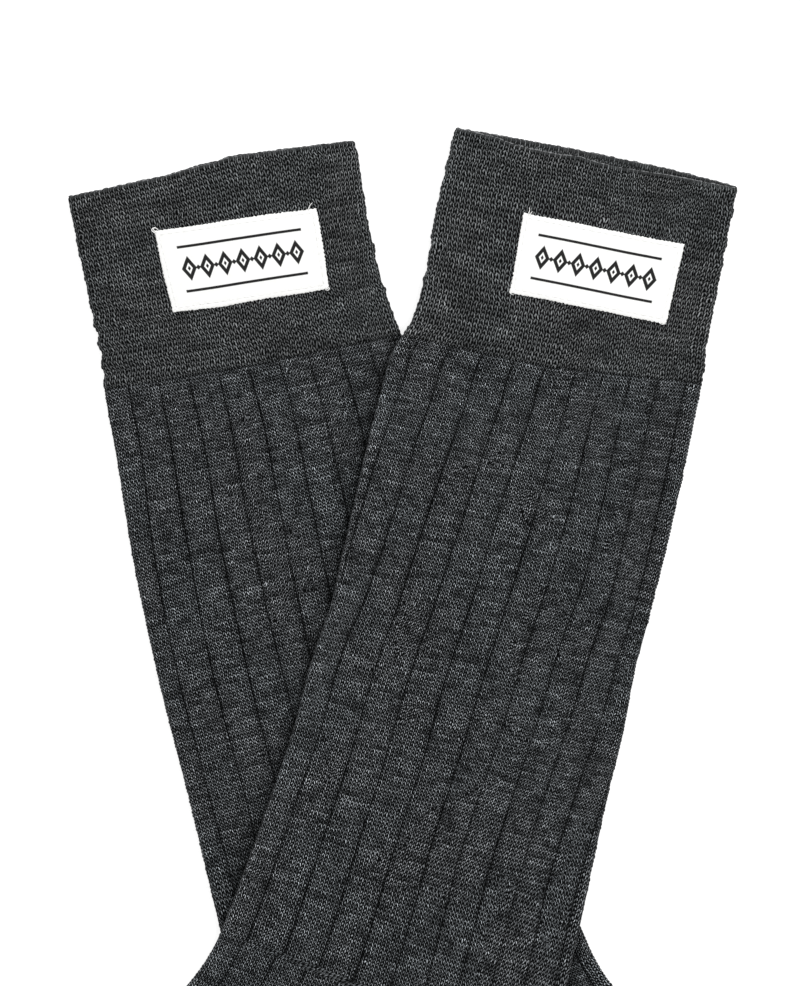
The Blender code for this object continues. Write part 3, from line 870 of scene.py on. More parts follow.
def wool(name, shade, side, seed):
    """Heathered charcoal wool: rows of stitches, each of its own grey, with painted shade in the gaps
    between them.
    """
    material, shader, start = new_material(name)
    rib, run = start.layer("stitches")
    on_leg = run.above(JOIN)

    def uneven(x, y, rates, apart, detail):
        """Soft noise over the knit, at its own rate each way."""
        return start.point(x * rates[0], y * rates[1], seed + apart).cloudy(1.0, detail)

    wale = rib * on_leg.blend(CUFF_WALES * side, LEG_WALES * side)
    course = (run.at_least(RIM_LOOPS) - JOIN) * on_leg.blend(1.0 / CUFF_COURSE, 1.0 / LEG_COURSE)
    spot = start.point(wale, course, seed)
    sideways = spot.cloudy(WANDER_SCALES[0], detail=2.0)
    lengthways = spot.cloudy(WANDER_SCALES[1], detail=2.0, output=1).part(1)
    bent = wale + (sideways - 0.5) * WANDER
    rising = course + (lengthways - 0.5) * WANDER

    slow = uneven(rib, run, SLOW_RATES, apart=9.0, detail=1.0)
    round_tube = (rib * (2.0 * math.pi / RIBS_ROUND)).cosine()
    tilt = TILT_MIDDLE - round_tube * (TILT_ROUND * side) + (slow - 0.5) * on_leg.blend(*TILT_SLOW)
    tilt = on_leg.blend(tilt.ramp(*TILT_RAMPS[0]), tilt.ramp(*TILT_RAMPS[1]))

    middle = tilt.blend(1.0 - WIDER_LEG, WIDER_LEG)
    past = bent.fract() - middle
    right_leg = past.above(0.0)
    across = right_leg.blend(past * -1.0 / middle, past / (1.0 - middle))
    steep = right_leg.blend(tilt, 1.0 - tilt)
    which = bent.floor() * 2.0 + right_leg
    jog = start.node("ShaderNodeTexWhiteNoise", {"noise_dimensions": "1D"}, {"W": which * JOG_STEP + seed})
    along = rising - across * steep.blend(SHALLOW, STEEP) + jog * tilt * (1.0 - tilt) * JOG
    end = along.from_centre()
    edge = (across * 2.0 - 1.0).size()
    body = ((1.0 - end ** END_ROUND) * (1.0 - edge ** SIDE_ROUND)) ** STRAND_ROUND
    gap = ((end * edge) ** GAP_ROUND).ramp(0.0, GAP_WIDTH)

    cell = start.point(which, along.floor(), seed)
    chance = cell.node("ShaderNodeTexWhiteNoise", {"noise_dimensions": "3D"}, {"Vector": cell}) ** 2.0
    streak = uneven(wale, along.floor(), STREAK_RATES, apart=0.0, detail=1.0)
    patch = uneven(wale, course, PATCH_RATES, apart=5.0, detail=2.0)
    strands = uneven(wale, course, STRAND_RATES, apart=3.0, detail=1.0)
    whole_row = streak.ramp(*BRIGHT_ROW) - streak.ramp(*DARK_ROW)
    tone = on_leg.blend(*(least + chance * lift for least, lift in zip(LEAST_GREYS, CHANCE_LIFTS)))
    tone = tone * on_leg.blend(*(streak.ramp(*STREAK_RAMP, *greys) for greys in STREAK_GREYS))
    tone = tone * (1.0 + (patch - 0.5) * on_leg.blend(*PATCH_STRENGTHS)) * strands.ramp(*STRAND_RAMP)
    tone = tone * steep.blend(SHADED, 1.0)
    tone = tone * (1.0 + whole_row * on_leg.blend(*ROW_STRENGTHS))
    # Painted shade: each strand darker at its ends and sides, and nearly black in the gaps between strands
    painted_form_shade = (LEAST_LIGHT + body * (1.0 - LEAST_LIGHT)) * (1.0 - gap)
    powers = zip(FORM_POWERS, TONE_POWERS, LEVELS)
    lights = [painted_form_shade ** by_form * tone ** by_tone * level for by_form, by_tone, level in powers]
    cuff_light, leg_light = lights
    leg_light = leg_light / (1.0 + leg_light * LIGHTEST_EASED)
    light = on_leg.blend(cuff_light, leg_light)

    # Painted shade: a thin dark line in each valley between ribs, and a softer darkening on its shoulders
    fade = uneven(rib.nearest(), run, VALLEY_RATES, apart=0.0, detail=2.0)
    strength = start.painted("rib_strength")
    off_valley = (rib - rib.nearest()).size()
    clear = fade.ramp(*VALLEY_SHOWS).at_least(run.ramp(*VALLEY_UNDER_JOIN))
    valley = off_valley.fades(*VALLEY_EDGE) * strength * clear
    shoulder = off_valley.fades(*SHOULDER_EDGE) * strength * fade.ramp(*SHOULDER_SHOWS)
    # Painted shade along the groove at the join of cuff and leg
    at_join = (run - JOIN).size().ramp(*JOIN_PAINTED_SHADE)
    light = start.painted("inside").blend(light, LINING_GREYS[0] + light * LINING_GREYS[1])
    grey = light * (1.0 - valley * VALLEY_PAINTED_SHADE) * (1.0 - shoulder * SHOULDER_PAINTED_SHADE)
    # Painted light along the front fold, and painted shade at the join
    grey = grey * (1.0 + start.painted("fold") * FOLD_PAINTED_LIGHT) * (1.0 - at_join)
    grey = run.fades(*RIM_EDGE).blend(grey, RIM_GREYS[0] + light * RIM_GREYS[1])
    # Painted shade inside the mouth, below the upper rim
    grey = grey * (1.0 - start.painted("painted_mouth_shade") * MOUTH_PAINTED_SHADE)
    # Painted shade on the lower sock beside the upper one's edge
    grey = grey * (1.0 - start.painted("painted_contact_shade") * CONTACT_PAINTED_SHADE)

    pale = (*[c * shade for c in LIGHT_WOOL], 1.0)
    share = grey.node("ShaderNodeMapRange", inputs={"Value": grey, "From Max": GREY_RANGE})
    tint = slow.ramp(*TINT_RAMP).mix(COOL_TINT, WARM_TINT)
    color = share.mix(WOOL_IN_DEEP_SHADE, pale).tinted(1.0, tint).tinted(on_leg, LEG_TINT)
    color.feed(shader.inputs["Base Color"])
    (body - gap * GAP_DENT).bump(STITCH_DEPTH).feed(shader.inputs["Normal"])
    set_sockets(shader, WOOL_SURFACE)
    return material


# The fineness of the grain of single yarns, and how dark its darkest spots are
YARN_GRAIN = 2500.0
GRAIN_RAMP = (0.3, 0.7, 0.1, 1.0)


def yarn(name, dark, light):
    """One yarn on its own, in loops, threads and loose fibres, where no rows of stitches show."""
    material, shader, start = new_material(name)
    grain = start.node("ShaderNodeNewGeometry").cloudy(YARN_GRAIN, detail=2.0).ramp(*GRAIN_RAMP)
    color = (grain * start.painted("shade")).mix((*dark, 1.0), (*light, 1.0))
    color.feed(shader.inputs["Base Color"])
    set_sockets(shader, {"Roughness": 0.95, "Specular IOR Level": 0.1})
    return material


# Loops are small egg-shaped beads of yarn: how many sides and rows of faces each has, their half sizes in
# millimetres, how far in they are set, where the first one is under the rim and under the join, and how much
# their sizes, slants, places and greys vary. The front loops of a mouth that gapes wide are flatter.
LOOP_SIDES = 8
LOOP_STACKS = 5
RIM_LOOP = (1.05, 0.42, 0.60)
FRONT_RIM_LOOP = (0.98, 0.30, 0.42)
WIDE_GAPE = 1.0
RIM_SIZES = (0.82, 1.18)
RIM_SLANTS = (-0.18, 0.18)
RIM_SET_DOWN = 0.22
RIM_SHIFTS = (-0.16, 0.10)
RIM_SHADES = (0.6, 1.5)
EDGE_LOOP = (0.62, 0.42, 0.75)
EDGE_SET_IN = 0.30
EDGE_STARTS = (1.6, 0.6)
EDGE_SLANTS = (-0.3, 0.3)
EDGE_STRETCH = (0.5, 1.5)
EDGE_SIZES = (0.85, 1.15)
EDGE_SHIFTS = (-0.08, 0.10)
EDGE_SHADES = (0.12, 0.38)


def add_loops(name, loops, shades, material):
    """One mesh of many loops, each given as its middle and its three half axes."""
    turns = np.arange(LOOP_SIDES) * (2.0 * math.pi / LOOP_SIDES)
    levels = np.linspace(0.0, math.pi, LOOP_STACKS + 1)[1:-1]
    unit = [(0.0, 0.0, 1.0)]
    for level in levels:
        flat = math.sin(level)
        unit += [(flat * math.cos(turn), flat * math.sin(turn), math.cos(level)) for turn in turns]
    unit = np.array([*unit, (0.0, 0.0, -1.0)])
    last = len(unit) - 1
    faces = []
    for j in range(LOOP_SIDES):
        k = (j + 1) % LOOP_SIDES
        faces.append((0, 1 + j, 1 + k))
        for i in range(LOOP_STACKS - 2):
            row = 1 + i * LOOP_SIDES
            faces.append((row + j, row + LOOP_SIDES + j, row + LOOP_SIDES + k, row + k))
        faces.append((last, last - LOOP_SIDES + k, last - LOOP_SIDES + j))
    points, all_faces, values = [], [], []
    for (middle, axes), shade in zip(loops, shades):
        axes = np.array(axes)
        if np.linalg.det(axes) < 0.0:
            axes[0] = -axes[0]
        base = len(points) * len(unit)
        points.append(middle + unit @ axes)
        all_faces += [tuple(base + index for index in face) for face in faces]
        values += [shade] * len(unit)
    piece = add_piece(name, np.concatenate(points), all_faces, material)
    paint_points(piece, "shade", values)
    return piece


# How much thinner a thread is at its tip than at its root
THREAD_TAPER = 0.6


def add_threads(name, paths, half, sides, shades, material):
    """One mesh of thin tapering threads, each given as its points from root to tip."""
    turns = np.arange(sides) * (2.0 * math.pi / sides)
    points, faces, values = [], [], []
    for path, shade in zip(paths, shades):
        ahead = np.gradient(path, axis=0)
        ahead /= np.linalg.norm(ahead, axis=1)[:, None]
        beside = np.cross((0.0, 0.0, 1.0), ahead)
        beside /= np.linalg.norm(beside, axis=1)[:, None]
        above = np.cross(ahead, beside)
        base = len(values)
        for i, middle in enumerate(path):
            radius = half * (1.0 - THREAD_TAPER * i / (len(path) - 1))
            points += [middle + radius * (math.cos(t) * beside[i] + math.sin(t) * above[i]) for t in turns]
            values += [shade] * sides
            if i:
                here = base + (i - 1) * sides
                for j in range(sides):
                    k = (j + 1) % sides
                    faces.append((here + j, here + k, here + sides + k, here + sides + j))
        faces.append(tuple(range(base + sides - 1, base - 1, -1)))
        faces.append(tuple(range(len(values) - sides, len(values))))
    piece = add_piece(name, points, faces, material)
    paint_points(piece, "shade", values)
    return piece


def rim_loops(plan, lift, front_grey_and_highlight, back_shade, dice):
    """The loops that turn over the rim of the mouth, one to each wale."""
    count = int(RIBS_ROUND * CUFF_WALES)
    at = (np.arange(count) + 0.5) / CUFF_WALES
    middles = ring(plan, leg_row(plan, LIP, LIP, LIP), lift, at)[0]
    along = np.roll(middles, -1, axis=0) - np.roll(middles, 1, axis=0)
    along /= np.linalg.norm(along, axis=1)[:, None]
    down = np.array([plan.side * math.sin(LEAN), -math.cos(LEAN), 0.0])
    up = np.array([0.0, 0.0, 1.0])
    loops, shades = [], []
    for i, middle in enumerate(middles):
        size = dice.uniform(*RIM_SIZES)
        slant = along[i] + down * dice.uniform(*RIM_SLANTS)
        upper = i / count < 0.5
        halves = FRONT_RIM_LOOP if upper and plan.gape > WIDE_GAPE else RIM_LOOP
        axes = (slant * halves[0] * size, down * halves[1] * size, up * halves[2])
        loops.append((middle + down * (RIM_SET_DOWN + dice.uniform(*RIM_SHIFTS)), axes))
        # The front loops' grey carries a painted highlight on the upper sock's rolled front rim
        shades.append((front_grey_and_highlight if upper else back_shade) * dice.uniform(*RIM_SHADES))
    return loops, shades


def edge_loops(plan, lift, dice):
    """The loops that turn over the two folded edges, one to each course, from the rim to the toe's seam."""
    under_rim, after_seam = EDGE_STARTS
    rows = [leg_row(plan, run) for run in np.arange(under_rim, JOIN, CUFF_COURSE)]
    rows += [leg_row(plan, run) for run in np.arange(JOIN + after_seam, LEG_END, LEG_COURSE)]
    rows += [heel_row(plan, turn) for turn in np.arange(BEND_START, BEND_END, LEG_COURSE / INSTEP_RADIUS)]
    rows += [foot_row(plan, along) for along in np.arange(after_seam, TOE_SEAM_ALONG, LEG_COURSE)]
    loops, shades = [], []
    for edge in ("back", "front"):
        ends = np.array([getattr(row, edge) for row in rows])
        others = np.array([row.front if edge == "back" else row.back for row in rows])
        inward = (others - ends) / np.linalg.norm(others - ends, axis=1)[:, None]
        set_in = ends + inward * EDGE_SET_IN
        plane = place(plan, set_in[:, 0], set_in[:, 1])
        beside = place(plan, (set_in + inward)[:, 0], (set_in + inward)[:, 1]) - plane
        heights = lift(plane)
        gaps = np.linalg.norm(np.gradient(plane, axis=0), axis=1)
        for i, row in enumerate(rows):
            across = np.array([*beside[i], 0.0])
            along = np.array([-beside[i][1], beside[i][0], dice.uniform(*EDGE_SLANTS)])
            thick = row.thick / 2.0
            reach = min(max(EDGE_LOOP[0] * gaps[i] / LEG_COURSE, EDGE_STRETCH[0]), EDGE_STRETCH[1])
            size = dice.uniform(*EDGE_SIZES)
            axes = (along * reach, across * EDGE_LOOP[1] * size, np.array([0.0, 0.0, EDGE_LOOP[2] * size]))
            middle = np.array([*plane[i], heights[i] + thick]) + across * dice.uniform(*EDGE_SHIFTS)
            loops.append((middle, axes))
            shades.append(dice.uniform(*EDGE_SHADES))
    return loops, shades


# Loose fibres of the wool's nap: their number on each sock, half thickness, shortest and longest length in
# millimetres, sides and bends, and where they stand, how they curl and how they rise. A root is found with a
# second point close beside it, because a row takes its slope from two.
FIBRES = 700
FIBRE_HALF = 0.022
FIBRE_LENGTHS = (1.2, 3.6)
FIBRE_SIDES = 3
FIBRE_RIBS = (-0.6, 10.6)
FIBRE_RUNS = (1.0, 250.0)
FIBRE_CURLS = (-1.6, 1.6)
FIBRE_CLEAR = 0.04
FIBRE_RISES = (0.05, 0.35)
FIBRE_SHADES = (0.4, 1.0)
RIB_NUDGE = 0.001
FIBRE_BENDS = 5


def fibres(plan, lift, dice):
    """Loose curved fibres that lie on the sock, some of them a little beyond its edges."""
    paths = []
    t = np.linspace(0.0, 1.0, FIBRE_BENDS)
    for _ in range(FIBRES):
        rib = dice.uniform(*FIBRE_RIBS) % RIBS_ROUND
        row = leg_row(plan, dice.uniform(*FIBRE_RUNS))
        root = ring(plan, row, lift, np.array([rib, rib + RIB_NUDGE]))[0][0]
        turn = dice.uniform(0.0, 2.0 * math.pi) + dice.uniform(*FIBRE_CURLS) * t
        reach = dice.uniform(*FIBRE_LENGTHS) * t
        rise = FIBRE_CLEAR + dice.uniform(*FIBRE_RISES) * np.sin(math.pi * t)
        paths.append(root + np.column_stack([np.cos(turn) * reach, np.sin(turn) * reach, rise]))
    return paths


def add_trim(plan, lift, front_grey_and_highlight, back_shade, seed):
    """The loops along a sock's rim and edges and its loose fibres, which ride with it."""
    dice = random.Random(seed)
    rim, rim_shades = rim_loops(plan, lift, front_grey_and_highlight, back_shade, dice)
    edges, edge_shades = edge_loops(plan, lift, dice)
    rim_piece = add_loops(plan.name + "_rim", rim, rim_shades, loop_yarn)
    edge_piece = add_loops(plan.name + "_edge", edges, edge_shades, loop_yarn)
    hairs = fibres(plan, lift, dice)
    hair_shades = [dice.uniform(*FIBRE_SHADES) for _ in hairs]
    nap = add_threads(plan.name + "_nap", hairs, FIBRE_HALF, FIBRE_SIDES, hair_shades, fibre_yarn)
    for piece in (rim_piece, edge_piece, nap):
        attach(piece, "root")
    return [rim_piece, edge_piece, nap]


def on_the_table(points):
    """The lower sock lies flat all over."""
    return np.zeros(len(points))


loop_yarn = yarn("loops", dark=(0.004, 0.0042, 0.0045), light=(0.21, 0.215, 0.22))
fibre_yarn = yarn("loose fibres", dark=(0.05, 0.052, 0.054), light=(0.32, 0.33, 0.34))
left_wool = wool("left wool", shade=0.97, side=LEFT.side, seed=1.0)
left_knit = add_sock(LEFT, on_the_table, left_wool)
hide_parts("left_sock")
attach(left_knit, "root")

# The loops along its rim and edges, and its loose fibres
left_trim = add_trim(LEFT, on_the_table, front_grey_and_highlight=0.75, back_shade=0.6, seed=21)

# The right sock
# The same knitted tube, turned over so that its foot points left. It lies across the left sock and falls to
# the table beside it, and its mouth stands a little open.
RIGHT_EDGES = (
    (0.0, 44.8, 44.8),
    (30.0, 45.6, 45.0),
    (50.0, 46.2, 44.0),
    (62.0, 47.2, 45.2),
    (72.0, 47.4, 48.6),
    (85.0, 47.6, 49.6),
    (120.0, 47.4, 50.2),
    (136.0, 46.9, 50.3),
    (152.0, 46.2, 50.4),
    (172.0, 46.8, 52.6),
    (190.0, 46.4, 53.2),
    (215.0, 46.4, 55.7),
    (242.0, 46.4, 59.1),
    (258.0, 46.2, 61.5),
)
RIGHT_RIM = ((0.0, -0.9), (0.25, -1.7), (0.6, -1.3), (0.85, -0.4), (1.0, 0.2))
RIGHT_RIBS = (
    (-0.040, -0.040, -0.020, 0.035),
    (0.055, 0.052, 0.069, 0.123),
    (0.145, 0.133, 0.162, 0.213),
    (0.233, 0.232, 0.260, 0.306),
    (0.325, 0.337, 0.363, 0.400),
    (0.414, 0.442, 0.465, 0.493),
    (0.515, 0.556, 0.578, 0.597),
    (0.620, 0.666, 0.690, 0.705),
    (0.725, 0.774, 0.800, 0.811),
    (0.835, 0.876, 0.914, 0.923),
    (0.940, 0.979, 0.997, 1.010),
)
RIGHT_FOLDS = (
    (58.0, 100.0, 0.92, 0.80, 12.0, -0.40),
    (140.0, 240.0, 0.05, 0.09, 9.0, 0.55),
    (175.0, 255.0, 0.45, 0.30, 16.0, 0.35),
    (95.0, 165.0, 0.62, 0.55, 15.0, 0.25),
    (8.0, 50.0, 0.30, 0.24, 12.0, 0.18),
    (265.0, 322.0, 0.70, 0.84, 12.0, 0.30),
    (280.0, 335.0, 0.34, 0.46, 16.0, -0.28),
    (350.0, 425.0, 0.56, 0.64, 16.0, 0.25),
)
RIGHT_MOUTH = (
    (0.0, 0.5),
    (0.07, 1.0),
    (0.18, 1.7),
    (0.31, 2.5),
    (0.41, 3.0),
    (0.50, 2.9),
    (0.555, 2.2),
    (0.625, 2.8),
    (0.725, 2.6),
    (0.79, 2.1),
    (0.86, 0.8),
    (1.0, 0.2),
)
RIGHT = Plan(
    name="right",
    side=-1,
    rim_x=60.9,
    rim_y=103.9,
    edges=RIGHT_EDGES,
    rim=RIGHT_RIM,
    ribs=RIGHT_RIBS,
    folds=RIGHT_FOLDS,
    join_sag=(0.0, 5.4, 5.8),
    mouth=RIGHT_MOUTH,
    gape=1.9,
)

# How high the upper sock lies over the table, how softly it falls beside the lower one, and how finely the
# outlines of both are followed
HIGHEST_FOLD = 0.35
CLEAR_HEIGHT = 0.3
STACK = LEG_THICK + RIB_HEIGHT + HIGHEST_FOLD + CLEAR_HEIGHT
DRAPE_START = 2.0
DRAPE_LENGTH = 18.0
OUTLINE_SPACING = 6.0
OUTLINE_TURN = math.radians(4.0)


def outline(plan):
    """The sock's outline seen from above, once round."""
    rows = [leg_row(plan, run) for run in evenly(0.0, LEG_END, OUTLINE_SPACING)]
    rows += [heel_row(plan, turn) for turn in evenly(BEND_START, BEND_END, OUTLINE_TURN)[1:]]
    rows += [foot_row(plan, along) for along in evenly(0.0, FOOT_LENGTH, OUTLINE_SPACING)[1:]]
    back = [place(plan, row.back[0], row.back[1]) for row in rows]
    front = [place(plan, row.front[0], row.front[1]) for row in rows]
    return np.array(front + back[::-1])


def distance_outside(points, corners):
    """How far each point lies outside a closed outline; zero inside it."""
    starts = corners
    ends = np.roll(corners, -1, axis=0)
    along = ends - starts
    to_point = points[:, None, :] - starts[None, :, :]
    t = np.clip((to_point * along).sum(axis=2) / (along * along).sum(axis=1), 0.0, 1.0)
    nearest = np.linalg.norm(to_point - t[:, :, None] * along, axis=2).min(axis=1)
    spans = (starts[:, 1] > points[:, None, 1]) != (ends[:, 1] > points[:, None, 1])
    rise = np.where(along[:, 1] == 0.0, 1.0, along[:, 1])
    crossing = starts[:, 0] + (points[:, None, 1] - starts[:, 1]) * along[:, 0] / rise
    inside = (spans & (points[:, None, 0] < crossing)).sum(axis=1) % 2 == 1
    return np.where(inside, 0.0, nearest)


left_outline = outline(LEFT)


def over_the_left(points):
    """How high the right sock lies: on the left one, and falling to the table beside it."""
    beside = distance_outside(points, left_outline) - DRAPE_START
    return STACK * (1.0 - smooth_step(beside / DRAPE_LENGTH))


right_wool = wool("right wool", shade=1.0, side=RIGHT.side, seed=7.0)
right_knit = add_sock(RIGHT, over_the_left, right_wool)
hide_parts("right_sock")
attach(right_knit, "root")
# The upper sock's front rim loops are painted light, a painted highlight along its rolled edge
right_trim = add_trim(RIGHT, over_the_left, front_grey_and_highlight=1.5, back_shade=0.8, seed=22)

# Painted shade: the lower sock is darker close to the edge of the upper one, which keeps the light from it.
CONTACT_LENGTH = 5.5
CONTACT_PARTS = 200
right_outline = outline(RIGHT)
lower = np.empty(len(left_knit.data.vertices) * 3, dtype=np.float32)
left_knit.data.vertices.foreach_get("co", lower)
seen_from_above = lower.reshape(-1, 3)[:, :2] / MM
parts = np.array_split(seen_from_above, CONTACT_PARTS)
away = np.concatenate([distance_outside(part, right_outline) for part in parts])
paint_points(left_knit, "painted_contact_shade", 1.0 - smooth_step(away / CONTACT_LENGTH))

# The labels
# A white tape woven with a small dark pattern, cut to a rectangle and sewn flat to the front of each cuff
# with white thread all round. Some ends of the thread and of the tape's threads are loose at the corners.
LABEL_WIDTH = 49.8
LABEL_HEIGHT = 25.6
LABEL_BASE = 3.62
LABEL_TOP = 4.10
LABEL_COLUMNS = 170
LABEL_ROWS = 90
LABEL_EDGE_DROP = 0.16
LABEL_EDGE_ROLL = 0.9
LABEL_RIPPLE = 0.07
LABEL_RIPPLE_LENGTHS = (11.0, 8.0)

# The label's edges: their fine teeth and loose threads in the strips along them, and their slow bow, which
# the woven pattern follows in part
SERRATION = 0.22
SERRATION_PITCH = 1.25
SIDE_STRIP = (0.493, 0.007)
END_STRIP = (0.487, 0.013)
SIDE_WAVE = 0.8
SIDE_LOOSE = 1.3
END_LOOSE = 1.1
LOOSE_RATE = 1.7
LOOSE_SEED = 4.0
EDGE_BOW = 0.55
BOW_LENGTH = 17.0
BOW_SEEDS = (8.0, 16.0)
PATTERN_STRAIGHT = 0.7

# The seam: how far in it runs, the length of its stitches and their half sizes, and the dent that it makes
SEAM_INSET = 1.35
SEAM_STITCH = 2.3
SEAM_THREAD = (0.86, 0.13, 0.10)
SEAM_PROUD = 0.6
SEAM_SLANTS = (-0.04, 0.04)
SEAM_SHADES = (0.85, 1.0)
SEAM_DENT = 0.10
SEAM_DENT_WIDTH = 0.35

# A label's middle on its cuff, its turn, and how far each corner is pulled out of square, towards the front
# of the leg and down it: first the upper corner at the back, and then on round the label by the front
Tag = namedtuple("Tag", "down across turn pulls")
LEFT_TAG = Tag(30.1, 3.3, math.radians(-4.1), ((-1.14, -0.33), (-0.04, -0.16), (0.16, -0.45), (1.18, 0.08)))
RIGHT_TAG = Tag(33.4, -7.1, math.radians(-1.4), ((-0.70, 0.34), (0.09, 0.33), (0.05, -0.24), (0.24, 0.05)))


def label_place(plan, tag, forward, below):
    """A point of a label, from its middle towards the front and down, as x and y in millimetres."""
    x, y = forward / LABEL_WIDTH, below / LABEL_HEIGHT
    weights = ((0.5 - x) * (0.5 - y), (0.5 + x) * (0.5 - y), (0.5 + x) * (0.5 + y), (0.5 - x) * (0.5 + y))
    forward = forward + sum(weight * pull[0] for weight, pull in zip(weights, tag.pulls))
    below = below + sum(weight * pull[1] for weight, pull in zip(weights, tag.pulls))
    down = tag.down + below * math.cos(tag.turn) - forward * math.sin(tag.turn)
    across = tag.across + forward * math.cos(tag.turn) + below * math.sin(tag.turn)
    return place(plan, down, across)


def label_surface(forward, below, seed):
    """How far the top of the tape lies under its flat height: at its edges and along its seam."""
    from_edge = np.minimum(LABEL_WIDTH / 2.0 - np.abs(forward), LABEL_HEIGHT / 2.0 - np.abs(below))
    rolled = LABEL_EDGE_DROP * (1.0 - smooth_step(from_edge / LABEL_EDGE_ROLL))
    dent = SEAM_DENT * bell(from_edge - SEAM_INSET, SEAM_DENT_WIDTH)
    pulled = 0.5 + 0.5 * np.cos(2.0 * math.pi * (forward + below) / SEAM_STITCH)
    long, short = LABEL_RIPPLE_LENGTHS
    ripple = [noise.noise(Vector((x / long, y / short, seed))) for x, y in zip(forward, below)]
    return rolled + dent * (0.5 + 0.5 * pulled) - LABEL_RIPPLE * np.array(ripple)


# The tape's threads and its pattern in millimetres, how sharp its edges are, and its colours. A diamond's
# edges are given as shares of the way out from its middle.
WARP_PITCH = 0.42
WEFT_PITCH = 0.30
WARP_SHOWS = 0.5
THREAD_DEPTH = 0.00005
INK_PROUD = 0.6
DIAMOND_PITCH = 5.6
DIAMOND_HALF = (2.3, 3.9)
DIAMONDS_EACH_WAY = 3
DIAMOND_EDGE = (0.96, 1.04)
DIAMOND_HOLE = (0.42, 0.5)
DIAMOND_HEART = (0.16, 0.24)
PIP_HALF = 0.8
PIP_EDGE = (0.85, 1.15)
RULE_AWAY = 6.9
RULE_HALF = 0.42
RULE_END = 19.2
RULE_SOFT = 0.06
STAIN_SCALE = 0.35
TAPE_STAIN_AND_SHADE = (0.84, 0.84, 0.82, 1.0)
TAPE_WHITE = (0.93, 0.93, 0.92, 1.0)
INK_IN_THREAD_SHADE = (0.003, 0.003, 0.003, 1.0)
INK_LIGHT = (0.011, 0.010, 0.010, 1.0)


def woven_tape():
    """White woven tape: fine crosswise threads, and a row of dark diamonds between two thin lines."""
    material, shader, start = new_material("label tape")
    across, down = start.layer("threads")
    warp = (across * (1.0 / WARP_PITCH)).from_centre()
    weft = (down * (1.0 / WEFT_PITCH)).from_centre()
    thread = (1.0 - weft ** 2.0) * (1.0 - warp ** 3.0 * WARP_SHOWS)

    slot = (across + DIAMOND_PITCH * 0.5) * (1.0 / DIAMOND_PITCH)
    beside = (slot.fract() - 0.5).size() * DIAMOND_PITCH
    off_line = down.size()
    within = slot.floor().size().below(DIAMONDS_EACH_WAY + 0.5)
    diamond = beside * (1.0 / DIAMOND_HALF[0]) + off_line * (1.0 / DIAMOND_HALF[1])
    solid = diamond.fades(*DIAMOND_EDGE) - diamond.fades(*DIAMOND_HOLE)
    heart = diamond.fades(*DIAMOND_HEART)
    pip = (DIAMOND_PITCH * 0.5 - beside).size() * (1.0 / PIP_HALF) + off_line * (1.0 / PIP_HALF)
    pip = pip.fades(*PIP_EDGE) * across.size().below(DIAMOND_PITCH * DIAMONDS_EACH_WAY)
    rule = (off_line - RULE_AWAY).size().fades(RULE_HALF - RULE_SOFT, RULE_HALF + RULE_SOFT)
    rule = rule * across.size().fades(RULE_END - RULE_SOFT, RULE_END + RULE_SOFT)
    dark = ((solid + heart) * within + pip + rule).at_most(1.0)

    stain = start.point(across, down, 3.0).cloudy(STAIN_SCALE, detail=3.0)
    # The white is darkened by its stains and by painted shade between the tape's threads; the ink also gets
    # painted shade between the threads
    white = (stain * 0.5 + thread * 0.5).mix(TAPE_STAIN_AND_SHADE, TAPE_WHITE)
    color = dark.mix(white, thread.mix(INK_IN_THREAD_SHADE, INK_LIGHT))
    color.feed(shader.inputs["Base Color"])
    (thread + dark * INK_PROUD).bump(THREAD_DEPTH).feed(shader.inputs["Normal"])
    set_sockets(shader, {"Roughness": 0.7, "Specular IOR Level": 0.25})
    return material


